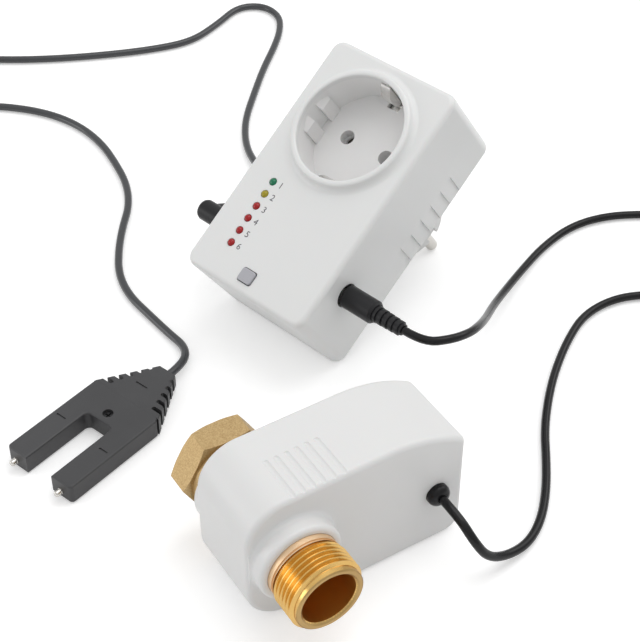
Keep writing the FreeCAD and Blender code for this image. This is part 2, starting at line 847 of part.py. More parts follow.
def earth_clip():
    """One strip of metal: two bowed fingers in the socket's walls and a bridge behind its floor."""
    back_z = socket_floor_end + fit_gap
    fingers = []
    for side in (-1, 1):
        wall = socket_y + side * socket_radius

        def at(inward, z):
            return V(-clip_width / 2, wall - side * inward, z)

        outer_low = at(clip_seat - clip_thickness, back_z + clip_thickness)
        outer_high = at(clip_seat - clip_thickness, clip_tip_z)
        tip = at(clip_tip_reach, clip_tip_z)
        bow = at(clip_bulge, clip_bow_z)
        foot = at(clip_foot_reach, socket_floor_start + clip_foot_height)
        low = at(clip_foot_reach, back_z + clip_thickness)
        edges = [
            Part.LineSegment(outer_low, outer_high).toShape(),
            Part.LineSegment(outer_high, tip).toShape(),
            Part.Arc(tip, bow, foot).toShape(),
            Part.LineSegment(foot, low).toShape(),
            Part.LineSegment(low, outer_low).toShape(),
        ]
        fingers.append(Part.Face(Part.Wire(edges)).extrude(V(clip_width, 0, 0)))
    reach = socket_radius + (clip_thickness - clip_seat) - 0.2
    bridge = box(
        -clip_width / 2, clip_width / 2, socket_y - reach, socket_y + reach, back_z, back_z + clip_thickness
    )
    return fused(fingers[0], fingers[1], bridge)


def socket_contacts():
    """Two sleeves that grip the pins of what is plugged in, each with a bar to its own plug pin."""
    z0 = socket_floor_end + guide_length + fit_gap
    bore_end = socket_floor_start + pin_length + pin_room
    foot = bore_end + bar_thickness
    sleeves = []
    for side in (-1, 1):
        at = V(side * pin_pitch / 2, socket_y, z0)
        outer = cylinder(pin_radius + contact_wall, at, Z, foot - z0)
        x0 = at.x - bar_width / 2
        x1 = at.x + bar_width / 2
        end_y = plug_y + bar_width / 2
        stub_z = ctrl_depth + plug_height - plug_wall - pin_inside
        bar = box(x0, x1, socket_y - bar_width / 2, end_y, bore_end, foot)
        drop = box(x0, x1, end_y - bar_thickness, end_y, bore_end, stub_z)
        sleeve = fused(outer, bar, drop)
        sleeves.append(sleeve.cut(cylinder(pin_radius + run_gap, at - Z, Z, bore_end - z0 + 1)))
    return Part.makeCompound(sleeves)


def plug_pin(side):
    """A round pin with a flange behind the plug's face and a stub for its contact bar."""
    face = ctrl_depth + plug_height
    at = V(side * pin_pitch / 2, plug_y, face - plug_wall - pin_inside)
    root = cylinder(pin_root_radius, at, Z, pin_inside + plug_wall)
    pin = cylinder(pin_radius, V(at.x, at.y, face - 1), Z, pin_length + 1)
    tip = edges_at(pin, lambda c, e: abs(c.z - pin_tip) < 0.01)
    pin = pin.makeFillet(pin_radius - 0.05, tip)
    flange = cylinder(
        pin_flange_radius, V(at.x, at.y, face - plug_wall - pin_flange_thickness), Z, pin_flange_thickness
    )
    return fused(pin, root, flange)


def controller_board():
    z0 = board_top
    z1 = board_back
    wide = half_width - ctrl_wall - board_side_gap
    board = slab(-wide, wide, board_start, board_end, board_corner, z0, z1)
    tab = slab(-board_tab_half, board_tab_half, board_end - 4, board_tab_end, board_corner, z0, z1)
    return fused(board, tab)


def led(i):
    y = led_first + i * led_pitch
    flange = cylinder(led_flange_radius, V(led_x, y, board_top - 1.0), Z, 1.0)
    body = cylinder(led_radius, V(led_x, y, led_radius - led_proud), Z, board_top - led_radius + led_proud)
    dome = Part.makeSphere(led_radius, V(led_x, y, led_radius - led_proud))
    return fused(body, flange, dome)


def button_switch():
    half = switch_size / 2
    z0 = board_top - switch_height
    block = box(button_x - half, button_x + half, button_y - half, button_y + half, z0, board_top)
    well = cylinder(plunger_radius + run_gap, V(button_x, button_y, z0 - 1), Z, 1 + button_travel + 1.2)
    return block.cut(well)


def switch_plunger():
    z0 = board_top - switch_height
    top = ctrl_wall + button_collar
    return cylinder(plunger_radius, V(button_x, button_y, top), Z, z0 + 1.0 - top)


def button_cap():
    """The cap stands proud of the face and its collar is held behind the window."""
    hw = button_width / 2
    hh = button_height / 2
    cap = slab(
        button_x - hw, button_x + hw, button_y - hh, button_y + hh, 0.9,
        -button_proud, ctrl_wall + button_collar
    )
    crown = edges_at(cap, lambda c, e: abs(c.z + button_proud) < 0.01)
    cap = cap.makeFillet(0.5, crown)
    collar = slab(
        button_x - hw - 1, button_x + hw + 1, button_y - hh - 1, button_y + hh + 1, 1.2,
        ctrl_wall + 0.2, ctrl_wall + button_collar
    )
    return fused(cap, collar)


def jack_socket(side):
    z = jack_z
    outside = side * (half_width - ctrl_wall - fit_gap)
    inside = side * (half_width - ctrl_wall - jack_reach)
    half = jack_width / 2
    block = box(
        min(outside, inside), max(outside, inside), jack_y - half, jack_y + half, board_back, z + half
    )
    start = V(side * (half_width - ctrl_wall), jack_y, z)
    bore = cylinder(jack_bore_radius, start, X * -side, jack_reach - 1.5)
    pin = cylinder(jack_pin_radius, V(inside + side * 0.5, jack_y, z), X * side, jack_reach - 3.0)
    return fused(block.cut(bore), pin)


buzzer_x = buzzer_from_wall + buzzer_radius - (half_width - ctrl_wall)
buzzer_y = jack_y - jack_width / 2 - buzzer_from_jack - buzzer_radius
transformer_left = buzzer_x + buzzer_radius + transformer_gap
capacitor_y = board_end - capacitor_from_end - capacitor_radius
bobbin_start = board_start + bobbin_from_start
bobbin_end = capacitor_y - capacitor_radius - transformer_overhang


def transformer():
    over = transformer_overhang
    core = box(
        transformer_left, transformer_right, bobbin_start + 2, bobbin_end - 2,
        board_back + over, board_back + transformer_height
    )
    bobbin = slab(
        transformer_left + over, transformer_right - over, bobbin_start, bobbin_end, 2.5,
        board_back, board_back + bobbin_height
    )
    return fused(core, bobbin)


def relay():
    wall = half_width - ctrl_wall
    return slab(
        transformer_right + relay_gap, wall - relay_from_wall,
        board_start + relay_from_start, jack_y - jack_width / 2 - relay_from_jack, 1.0,
        board_back, board_back + relay_height
    )


def controller_screws():
    screws = []
    start = ctrl_split - screw_bore_depth + 1.5
    for x, y in post_places:
        top = screw_seat_z
        shank = cylinder(screw_radius - run_gap, V(x, y, start), Z, top + 0.2 - start)
        head = cylinder(screw_head_radius, V(x, y, top), Z, screw_head_height)
        face = top + screw_head_height
        slot = box(x - 2, x + 2, y - 0.35, y + 0.35, face - 0.8, face + 1)
        screws.append(fused(shank, head).cut(slot))
    return Part.makeCompound(screws)


def build_controller():
    ctrl_keep("controller_front_shell", front_shell())
    ctrl_keep("controller_rear_shell", rear_shell())
    ctrl_keep("plug_body", plug_body())
    ctrl_keep("socket_insert", socket_insert())
    ctrl_keep("socket_floor", socket_base())
    ctrl_keep("earth_clip", earth_clip())
    ctrl_keep("socket_contacts", socket_contacts())
    ctrl_keep("plug_pin_left", plug_pin(-1))
    ctrl_keep("plug_pin_right", plug_pin(1))
    ctrl_keep("plug_earth_strips", Part.makeCompound([earth_strip(side, 0) for side in (-1, 1)]))
    ctrl_keep("controller_board", controller_board())
    ctrl_keep("transformer", transformer())
    ctrl_keep("relay", relay())
    ctrl_keep("buzzer", cylinder(buzzer_radius, V(buzzer_x, buzzer_y, board_back), Z, buzzer_height))
    can = V(capacitor_x, capacitor_y, board_back)
    ctrl_keep("capacitor", cylinder(capacitor_radius, can, Z, capacitor_height))
    ctrl_keep("led_green", led(0))
    ctrl_keep("led_yellow", led(1))
    ctrl_keep("led_red", Part.makeCompound([led(i) for i in range(2, led_count)]))
    ctrl_keep("button_switch", button_switch())
    ctrl_keep("switch_plunger", switch_plunger())
    ctrl_keep("button_cap", button_cap())
    ctrl_keep("jack_socket_left", jack_socket(-1))
    ctrl_keep("jack_socket_right", jack_socket(1))
    ctrl_keep("controller_screws", controller_screws())


build_controller()


# Jack plugs

def barrel(side):
    """The plug's metal sleeve inside the jack."""
    start = V(side * (half_width + show_gap + 0.2), jack_y, jack_z)
    outer = cylinder(plug_barrel_radius, start, X * -side, ctrl_wall + plug_barrel_length)
    bore = cylinder(jack_pin_radius + 0.2, start, X * -side, ctrl_wall + plug_barrel_length + 1)
    return outer.cut(bore)


def relief_rings(start_radius, end_radius, start, length, count):
    """A tapering sleeve with rings: points of (radius, distance) for a turned shape."""
    points = []
    pitch = length / count
    for i in range(count):
        near = start + i * pitch
        share = i / (count - 1)
        radius = start_radius + (end_radius - start_radius) * share
        points += [(radius, near), (radius, near + pitch * 0.55)]
        points += [(radius - 0.6, near + pitch * 0.6), (radius - 0.6, near + pitch * 0.95)]
    return points


def valve_plug():
    base = V(half_width + show_gap, jack_y, jack_z)
    r = valve_plug_radius
    end = valve_plug_length - show_gap
    points = [(0, 0), (r - 0.6, 0), (r, 0.6), (r, end - 1.0), (r - 0.8, end)]
    small = cord_diameter / 2 + cord_relief_wall
    points += relief_rings(cord_diameter / 2 + 1.6, small + 0.6, end, valve_relief_length, 5)
    tip = end + valve_relief_length
    points += [(small, tip), (0, tip)]
    return turned(points, base, X)


neck_tilt = math.radians(sensor_neck_angle)
neck_way = V(0, -math.sin(neck_tilt), math.cos(neck_tilt))
neck_x = -half_width - sensor_plug_reach + sensor_neck_from_end


def sensor_plug():
    """A right-angle plug: a short barrel across the jack and a tapering neck for the cord."""
    base = V(-half_width - show_gap, jack_y, jack_z)
    r = sensor_plug_radius
    end = sensor_plug_reach - show_gap
    points = [(0, 0), (r - 0.5, 0), (r, 0.5), (r, end - 1.6), (r - 0.5, end - 0.5), (r - 1.6, end), (0, end)]
    body = turned(points, base, X * -1)
    at = V(neck_x, jack_y, jack_z)
    plain = sensor_plug_radius + 3.0
    points = [(0, 0), (sensor_neck_radius, 0), (sensor_neck_radius, plain)]
    small = cord_diameter / 2 + cord_relief_wall
    rings = plain + 0.8
    points += relief_rings(sensor_neck_radius, small + 0.6, rings, sensor_neck_length - rings, 4)
    points += [(small, sensor_neck_length), (0, sensor_neck_length)]
    neck = turned(points, at, neck_way)
    return fused(body, neck)


ctrl_keep("valve_plug_contact", barrel(1))
ctrl_keep("sensor_plug_contact", barrel(-1))
ctrl_keep("valve_plug", valve_plug().cut(barrel(1)))
ctrl_keep("sensor_plug", sensor_plug().cut(barrel(-1)))


# Valve

pipe_centre = V(0, 0, pipe_height)
valve_screw_seat = valve_screw_recess + valve_screw_head_height
valve_slope_run = valve_right - 1.0 - valve_slope_start
valve_slope_fall = valve_top - valve_right_top
valve_slope_radius = (valve_slope_run ** 2 + valve_slope_fall ** 2) / (2 * valve_slope_fall)


def valve_block(gap):
    """The housing's block, drawn in by a gap: round at its four long edges, its top falls to the right."""
    radius = valve_slope_radius - gap
    centre_z = valve_top - valve_slope_radius
    x0 = -valve_left + gap
    x1 = valve_right - gap
    z0 = gap
    z1 = valve_top - gap
    z_end = centre_z + math.sqrt(radius ** 2 - (x1 - valve_slope_start) ** 2)
    x_mid = (valve_slope_start + x1) / 2
    z_mid = centre_z + math.sqrt(radius ** 2 - (x_mid - valve_slope_start) ** 2)
    half = valve_half - gap
    corner = [
        V(x0, -half, z0), V(x1, -half, z0), V(x1, -half, z_end),
        V(valve_slope_start, -half, z1), V(x0, -half, z1),
    ]
    edges = [
        Part.LineSegment(corner[0], corner[1]).toShape(),
        Part.LineSegment(corner[1], corner[2]).toShape(),
        Part.Arc(corner[2], V(x_mid, -half, z_mid), corner[3]).toShape(),
        Part.LineSegment(corner[3], corner[4]).toShape(),
        Part.LineSegment(corner[4], corner[0]).toShape(),
    ]
    block = Part.Face(Part.Wire(edges)).extrude(V(0, 2 * half, 0))
    rounds = [
        (x0, z0, valve_bottom_left - gap),
        (x0, z1, valve_top_left - gap),
        (x1, z0, valve_bottom_right - gap),
        (x1, z_end, valve_top_right - gap),
    ]
    for x, z, r in rounds:
        line = edges_at(
            block, lambda c, e: abs(c.x - x) < 0.01 and abs(c.z - z) < 0.01 and abs(c.y) < 0.01
        )
        block = block.makeFillet(r, line)
    return block


def below_split(lift):
    """Everything under the seam of the two valve shells; it runs through the pipe axis, then falls."""
    low = split_low + lift
    high = pipe_height + lift
    far = 100.0
    points = [
        V(-far, -far, -far), V(far, -far, -far), V(far, -far, low), V(split_step_end, -far, low),
        V(split_step_start, -far, high), V(-far, -far, high),
    ]
    return polygon_face(points).extrude(V(0, 2 * far, 0))


valve_posts = [(x, side * valve_post_y) for x in (valve_post_left, valve_post_right) for side in (-1, 1)]
collar_radius = thread_root + neck_over_root


def boss_blend():
    """A ring with a hollow flank at the foot of the boss, kept inside the housing's outline."""
    foot = -valve_half
    flank = boss_cove * (1 - math.sqrt(0.5))
    corner = [
        V(boss_radius - 1, foot + 1, pipe_height), V(boss_radius + boss_cove, foot + 1, pipe_height),
        V(boss_radius + boss_cove, foot, pipe_height), V(boss_radius, foot - boss_cove, pipe_height),
        V(boss_radius - 1, foot - boss_cove, pipe_height),
    ]
    middle = V(boss_radius + flank, foot - flank, pipe_height)
    edges = [
        Part.LineSegment(corner[0], corner[1]).toShape(),
        Part.LineSegment(corner[1], corner[2]).toShape(),
        Part.Arc(corner[2], middle, corner[3]).toShape(),
        Part.LineSegment(corner[3], corner[4]).toShape(),
        Part.LineSegment(corner[4], corner[0]).toShape(),
    ]
    ring = Part.Face(Part.Wire(edges)).revolve(pipe_centre, Y, 360)
    outline = valve_block(boss_cove_inset)
    outline.translate(Y * -(boss_cove + 2))
    return ring.common(outline)


def valve_housing():
    """The whole housing with its boss, before it is parted in two."""
    block = valve_block(0)
    front = edges_at(block, lambda c, e: abs(c.y + valve_half) < 0.01)
    block = block.makeFillet(valve_front_edge, front)
    back = edges_at(block, lambda c, e: abs(c.y - valve_half) < 0.01)
    block = block.makeFillet(valve_back_edge, back)
    boss = cylinder(boss_radius, pipe_centre, Y * -1, valve_half + boss_height)
    rim = edges_at(boss, lambda c, e: abs(c.y + valve_half + boss_height) < 0.01)
    boss = boss.makeFillet(boss_edge, rim)
    boss = fused(boss, boss_blend())
    rear = cylinder(end_neck_radius + rear_boss_width, pipe_centre, Y, valve_half + rear_boss_height)
    block = fused(block, boss, rear)
    block = block.cut(valve_block(valve_wall))
    posts = [cylinder(valve_post_radius, V(x, y, 0.5), Z, valve_top) for x, y in valve_posts]
    posts = [p.common(valve_block(valve_wall / 2)) for p in posts]
    stud_y = position_board_half - position_stud_inset
    stud_ends = (plate_front_end + 2.6, position_board_end - 2.2)
    studs = [
        cylinder(position_stud_radius, V(x, side * stud_y, 1.0), Z, position_board_z - 1.0)
        for x in stud_ends for side in (-1, 1)
    ]
    block = fused(block, *(posts + studs))
    inner = valve_half - valve_wall
    cuts = [
        cylinder(collar_radius + fit_gap, pipe_centre, Y * -1, pipe_reach),
        cylinder(end_neck_radius + fit_gap, pipe_centre, Y, hex_end),
        cylinder(chamber_radius + show_gap, pipe_centre - Y * inner, Y, 2 * inner),
        cylinder(grommet_neck, V(grommet_x, -valve_half - 1, grommet_z), Y, valve_wall + 2),
    ]
    for x, y in valve_posts:
        cuts.append(cylinder(valve_screw_radius, V(x, y, -1), Z, valve_screw_seat + valve_screw_length + 3.8))
        cuts.append(cylinder(valve_screw_head + fit_gap, V(x, y, -1), Z, valve_screw_seat + 1))
    return block.cut(cuts)


def seam_band(gap):
    """The lip that rises from the lower shell inside the upper one; the recess for it has a gap added."""
    band = below_split(lip_height + gap).cut(below_split(0))
    ring = valve_block(valve_wall - lip_wall - gap).cut(valve_block(valve_wall))
    band = band.common(ring)
    openings = [
        cylinder(boss_radius + 1.0 - gap, pipe_centre - Y * pipe_reach, Y, 2 * pipe_reach),
        cylinder(grommet_radius + 1.0 - gap, V(grommet_x, -pipe_reach, grommet_z), Y, pipe_reach),
    ]
    return band.cut(openings)


def top_notches():
    """Short grip grooves across the top that run out over the front edge."""
    notches = []
    for i in range(notch_count):
        x = notch_first + i * notch_pitch
        y0 = -valve_half - 1
        level = valve_top + notch_radius - notch_depth
        notch = cylinder(notch_radius, V(x, y0, level), Y, notch_length + 1)
        end = Part.makeSphere(notch_radius, V(x, y0 + notch_length + 1, level))
        notches.append(fused(notch, end))
    return notches


housing = valve_housing()
lower = fused(housing.common(below_split(0)), seam_band(0))
upper = housing.cut(below_split(0)).cut([seam_band(fit_gap)] + top_notches())


def thread_ridges(start, end, root, crest, pitch):
    """Points (radius, distance) for the ridges of an outer thread between two places."""
    points = []
    count = int((end - start) / pitch)
    at = end - count * pitch
    for i in range(count):
        near = at + i * pitch
        points += [(root, near), (crest, near + 0.38 * pitch)]
        points += [(crest, near + 0.52 * pitch), (root, near + 0.9 * pitch)]
    return points


def valve_body():
    """The brass body: male thread, ball chamber and stem tower."""
    y_boss = valve_half + boss_height
    first = y_boss + thread_neck
    tip = pipe_reach
    back = -chamber_rear - 1
    points = [(0, back), (chamber_radius, back), (chamber_radius, chamber_front)]
    points += [(collar_radius, chamber_front), (collar_radius, first)]
    points += [(thread_root, first)]
    points += thread_ridges(first + 0.2, tip - 0.8, thread_root, thread_outer, thread_pitch)
    points += [(thread_root, tip - 0.5), (thread_root - 0.5, tip), (0, tip)]
    body = turned(points, pipe_centre, Y * -1)
    tower = fused(
        cylinder(tower_radius, pipe_centre, X, flange_end),
        cylinder(flange_radius, pipe_centre + X * flange_start, X, flange_end - flange_start),
    )
    body = fused(body, tower)
    shoulder = seat_out
    hollow = [
        (0, -chamber_rear - 2), (chamber_bore, -chamber_rear - 2), (chamber_bore, shoulder),
        (bore_radius, shoulder), (bore_radius, y_boss - 2), (mouth_radius, y_boss + 4),
        (mouth_radius, tip - 0.8), (mouth_radius + 0.8, tip), (mouth_radius + 0.8, tip + 1), (0, tip + 1),
    ]
    cuts = [
        turned(hollow, pipe_centre, Y * -1),
        cylinder(stem_shoulder_radius + fit_gap, pipe_centre, X, stem_shoulder_end + run_gap),
        cylinder(stem_radius + run_gap, pipe_centre, X, 30),
        cylinder(packing_radius, pipe_centre + X * packing_start, X, 10),
    ]
    return body.cut(cuts)


def seat_ring(side):
    ring = cylinder(seat_radius, pipe_centre + Y * (side * seat_start), Y * side, seat_out - seat_start)
    ring = ring.cut(cylinder(seat_bore, pipe_centre, Y * side, 20))
    return ring.cut(Part.makeSphere(ball_radius + ball_gap, pipe_centre))


def end_piece():
    """The screwed-in end with its hexagon and female thread."""
    end = hex_end
    start = hex_start
    spigot = seat_out
    r_hex = hex_across / math.sqrt(3)
    corners = [
        V(r_hex * math.cos(math.radians(60 * i)), start, pipe_height + r_hex * math.sin(math.radians(60 * i)))
        for i in range(6)
    ]
    hexagon = polygon_face(corners).extrude(Y * hex_length)
    limit = hex_across / 2
    bevel = [
        (0, start), (limit + 0.2, start), (r_hex + 0.1, start + hex_chamfer),
        (r_hex + 0.1, end - hex_chamfer), (limit + 0.2, end), (0, end),
    ]
    hexagon = hexagon.common(turned(bevel, pipe_centre, Y))
    neck = [
        (0, spigot), (chamber_bore - fit_gap, spigot), (chamber_bore - fit_gap, chamber_rear + 1),
        (end_neck_radius, chamber_rear + 1), (end_neck_radius, start + 0.5), (0, start + 0.5),
    ]
    body = fused(turned(neck, pipe_centre, Y), hexagon)
    female = end - female_depth
    hollow = [
        (0, spigot - 1), (bore_radius, spigot - 1), (bore_radius, female - 1.2), (female_root - 1.2, female),
        (female_root, female), (female_root, end - 1.2), (female_root + 1.2, end),
        (female_root + 1.2, end + 1), (0, end + 1),
    ]
    return body.cut(turned(hollow, pipe_centre, Y))


def ball():
    shape = Part.makeSphere(ball_radius, pipe_centre)
    bore = cylinder(bore_radius, pipe_centre - Y * 20, Y, 40)
    half = tang_width / 2 + run_gap
    over = ball_radius + 1
    slot = box(stem_slot_end - fit_gap, over, -half, half, pipe_height - over, pipe_height + over)
    return shape.cut([bore, slot])


def stem():
    half = tang_width / 2
    start = stem_shoulder_start
    at = pipe_centre + X * start
    low = pipe_height - tang_half_height
    high = pipe_height + tang_half_height
    tang = box(stem_slot_end, start + 0.5, -half, half, low, high)
    tang = tang.common(cylinder(stem_shoulder_radius, pipe_centre, X, flange_end))
    shoulder = cylinder(stem_shoulder_radius, at, X, stem_shoulder_end - start)
    shaft = cylinder(stem_radius, at, X, cam_start - show_gap - start)
    shank = cylinder(gear_shaft_radius, at, X, low_gear_end - start)
    return fused(tang, shoulder, shaft, shank)


def stem_seals():
    """Two rubber rings in the packing space with a spacer between them."""
    middle = (packing_start + nut_start) / 2
    r = (stem_radius + packing_radius) / 2
    places = (middle - seal_offset, middle + seal_offset)
    rings = [Part.makeTorus(r, seal_section, pipe_centre + X * x, X) for x in places]
    return Part.makeCompound(rings)


def gland_nut():
    length = flange_end - nut_start
    thread = cylinder(packing_radius - run_gap, pipe_centre + X * nut_start, X, length + 0.1)
    r = nut_across / math.sqrt(3)
    corners = [
        V(flange_end, r * math.cos(math.radians(60 * i)), pipe_height + r * math.sin(math.radians(60 * i)))
        for i in range(6)
    ]
    head = polygon_face(corners).extrude(X * nut_head)
    return fused(thread, head).cut(cylinder(stem_radius + run_gap, pipe_centre, X, 60))


def involute(base, radius):
    """The angle that an involute has turned when it reaches a radius."""
    reach = math.sqrt(max((radius / base) ** 2 - 1, 0.0))
    return reach - math.atan(reach)


def gear(teeth, start, end, centre_z, tooth_at, bore):
    """A spur gear across X; one tooth is centred on the angle tooth_at, measured in the YZ plane from Y."""
    pitch_r = gear_module * teeth / 2
    base = pitch_r * math.cos(math.radians(20))
    tip = pitch_r + gear_addendum
    root = pitch_r - 1.2 * gear_module
    half = math.pi / (2 * teeth) - tooth_play / (2 * pitch_r) + involute(base, pitch_r)
    low = max(base, root)

    def at(radius, angle):
        return V(start, radius * math.cos(angle), centre_z + radius * math.sin(angle))

    def flank(r):
        return half - involute(base, r)

    edges = []
    middle_r = (low + tip) / 2
    for i in range(teeth):
        axis = math.radians(tooth_at) + 2 * math.pi * i / teeth
        following = axis + 2 * math.pi / teeth
        foot = at(low, axis - flank(low))
        left_tip = at(tip, axis - flank(tip))
        right_tip = at(tip, axis + flank(tip))
        right_foot = at(low, axis + flank(low))
        next_foot = at(low, following - flank(low))
        edges.append(Part.Arc(foot, at(middle_r, axis - flank(middle_r)), left_tip).toShape())
        edges.append(Part.Arc(left_tip, at(tip, axis), right_tip).toShape())
        edges.append(Part.Arc(right_tip, at(middle_r, axis + flank(middle_r)), right_foot).toShape())
        if low > root:
            deep = at(root, axis + flank(low))
            deep_next = at(root, following - flank(low))
            edges.append(Part.LineSegment(right_foot, deep).toShape())
            edges.append(Part.LineSegment(deep, deep_next).toShape())
            edges.append(Part.LineSegment(deep_next, next_foot).toShape())
        else:
            edges.append(Part.LineSegment(right_foot, next_foot).toShape())
    wheel = Part.Face(Part.Wire(edges)).extrude(X * (end - start))
    return wheel.cut(cylinder(bore, V(start - 1, 0, centre_z), X, end - start + 2))


def output_gear():
    wheel = gear(big_teeth, low_gear_start, low_gear_end, pipe_height, 90, gear_shaft_radius + 0.01)
    hub = cylinder(cam_radius, V(cam_start, 0, pipe_height), X, low_gear_start - cam_start)
    span = math.radians(cam_lobe_angle / 2)
    lobe_at = math.radians(225)
    corners = [V(cam_start, 0, pipe_height)]
    for angle in (lobe_at - span, lobe_at - span / 3, lobe_at + span / 3, lobe_at + span):
        corners.append(V(cam_start, cam_lobe * math.cos(angle), pipe_height + cam_lobe * math.sin(angle)))
    lobe = polygon_face(corners).extrude(X * (cam_end - cam_start))
    whole = fused(wheel, hub, lobe)
    return whole.cut(cylinder(gear_shaft_radius + 0.01, V(0, 0, pipe_height), X, 60))


def idler_gear():
    bore = axle_radius + run_gap
    low = gear(small_teeth, low_gear_start, high_gear_start, idler_z, -90 + 180 / small_teeth, bore)
    high = gear(big_teeth, high_gear_start, high_gear_end, idler_z, -90, bore)
    hub_start = V(plate_front_end + 0.2, 0, idler_z)
    hub = cylinder(idler_hub_radius, hub_start, X, low_gear_start - plate_front_end)
    tail_start = V(high_gear_end - 0.2, 0, idler_z)
    tail = cylinder(idler_hub_radius, tail_start, X, rear_plate_start - high_gear_end)
    whole = fused(low, high, hub, tail)
    return whole.cut(cylinder(axle_radius + run_gap, V(0, 0, idler_z), X, 60))


def motor_pinion():
    turned_by = 90 + 180 / small_teeth
    wheel = gear(small_teeth, high_gear_start, high_gear_end, pipe_height, turned_by, 0.3)
    shaft_start = V(high_gear_start, 0, pipe_height)
    shaft = cylinder(motor_shaft_radius, shaft_start, X, motor_start + 6 - high_gear_start)
    return fused(wheel, shaft)


def gear_plate(start, holes):
    z_low = pipe_height - plate_below_axis
    z_high = valve_top - valve_wall - 1.0
    middle = start + plate_thickness / 2
    plate = box(start, start + plate_thickness, -plate_half, plate_half, z_low, z_high)
    upright = edges_at(
        plate, lambda c, e: abs(abs(c.y) - plate_half) < 0.01 and abs(c.x - middle) < 0.01
    )
    plate = plate.makeFillet(3.0, upright)
    return plate.cut(holes)


pillar_places = [
    (side * (plate_half - pillar_inset), z)
    for side in (-1, 1)
    for z in (pipe_height - pillar_below_axis, pipe_height + pillar_above_axis)
]


def gear_frame_front():
    holes = [
        cylinder(nut_across / math.sqrt(3) + 0.6, V(0, 0, pipe_height), X, 60),
        cylinder(axle_radius + 0.01, V(0, 0, idler_z), X, 60),
    ]
    return gear_plate(flange_end, holes)


def gear_frame_rear():
    holes = [
        cylinder(motor_collar_radius + fit_gap, V(0, 0, pipe_height), X, 60),
        cylinder(axle_radius + 0.01, V(0, 0, idler_z), X, 60),
    ]
    plate = gear_plate(rear_plate_start, holes)
    reach = rear_plate_start - plate_front_end
    pillars = [cylinder(pillar_radius, V(plate_front_end, y, z), X, reach) for y, z in pillar_places]
    return fused(plate, *pillars)


def gear_motor():
    at = V(motor_start, 0, pipe_height)
    head = cylinder(motor_radius, at, X, motor_head_length)
    rim = edges_at(head, lambda c, e: abs(c.x - motor_start - motor_head_length) < 0.01)
    head = head.makeFillet(1.0, rim)
    can = cylinder(motor_radius - motor_can_step, at, X, motor_length)
    tail = edges_at(can, lambda c, e: abs(c.x - motor_start - motor_length) < 0.01)
    can = can.makeFillet(1.5, tail)
    collar = cylinder(motor_collar_radius, at - X * motor_collar, X, motor_collar + 1)
    cap = cylinder(motor_cap_radius, at + X * motor_length, X, motor_cap)
    body = fused(head, can, collar, cap)
    return body.cut(cylinder(motor_shaft_radius + run_gap, at - X * 2, X, 9.0))


def position_board():
    x0 = plate_front_end + 0.6
    x_mid = (cam_start + cam_end) / 2
    top = position_board_z + position_board_thickness
    half = position_board_half
    board = slab(x0, position_board_end, -half, half, 1.0, position_board_z, top)
    pieces = [board]
    for side in (-1, 1):
        y0 = side * limit_y - limit_body_length / 2
        block = box(x0, x0 + limit_body_width, y0, y0 + limit_body_length, top, limit_body_top)
        seat = V(x_mid, side * limit_y, limit_body_top)
        plunger = cylinder(limit_plunger_radius, seat, Z, limit_plunger_reach)
        pieces += [block, plunger]
    return fused(pieces[0], *pieces[1:])


def cable_grommet():
    outside = V(grommet_x, -valve_half, grommet_z)
    dome = cylinder(grommet_radius, outside, Y * -1, grommet_dome)
    rim = edges_at(dome, lambda c, e: abs(c.y + valve_half + grommet_dome) < 0.01)
    dome = dome.makeFillet(1.8, rim)
    neck = cylinder(grommet_neck, outside, Y, valve_wall)
    flange = cylinder(grommet_radius, outside + Y * valve_wall, Y, grommet_flange)
    return fused(dome, neck, flange)


def valve_screws():
    screws = []
    for x, y in valve_posts:
        shank = cylinder(valve_screw_radius - run_gap, V(x, y, valve_screw_seat), Z, valve_screw_length)
        head = cylinder(valve_screw_head, V(x, y, valve_screw_recess), Z, valve_screw_head_height)
        slot = box(x - 1.6, x + 1.6, y - 0.3, y + 0.3, 0, valve_screw_recess + 0.7)
        screws.append(fused(shank, head).cut(slot))
    return Part.makeCompound(screws)


keep("valve_upper_shell", upper)
keep("valve_lower_shell", lower)
keep("valve_body", valve_body())
keep("end_piece", end_piece())
keep("ball", ball())
keep("seat_rings", Part.makeCompound([seat_ring(side) for side in (-1, 1)]))
keep("stem", stem())
keep("stem_seals", stem_seals())
keep("gland_nut", gland_nut())
keep("gear_frame_front", gear_frame_front())
keep("gear_frame_rear", gear_frame_rear())
keep("output_gear", output_gear())
keep("idler_gear", idler_gear())
keep("motor_pinion", motor_pinion())
keep("idler_axle", cylinder(axle_radius, V(flange_end, 0, idler_z), X, motor_start - flange_end))
keep("gear_motor", gear_motor())
keep("position_board", position_board())
keep("cable_grommet", cable_grommet())
keep("valve_screws", valve_screws())


# Water sensor

sensor_turn = FreeCAD.Rotation(Z, sensor_heading)
sensor_frame = FreeCAD.Placement(V(sensor_place_x, sensor_place_y, 0), sensor_turn)
sensor_half = sensor_width / 2
sensor_middle = sensor_thickness / 2
sensor_screw_seat = sensor_thickness - sensor_screw_recess - sensor_screw_head_height
relief_tongue_half = relief_half + 0.5
relief_tongue_depth = 2.1


def sensor_keep(name, shape):
    """Turns a piece from the sensor's frame into the common one and keeps it."""
    placed = shape.copy()
    placed.Placement = sensor_frame.multiply(placed.Placement)
    keep(name, placed)


def fork(gap, z0, z1):
    """The fork outline drawn in by a gap."""
    half = sensor_half - gap
    outline = slab(gap, sensor_length - gap, -half, half, max(sensor_corner - gap, 0.3), z0, z1)
    half_slot = slot_width / 2 + gap
    slot = slab(-10, slot_length + gap, -half_slot, half_slot, slot_corner + gap, z0, z1)
    return outline.cut(slot)


def short_mark(x, y0, y1, top):
    """The space of a short groove across the sensor's top."""
    half = mark_width / 2
    return box(x - half, x + half, y0, y1, top - mark_depth, top + 1)


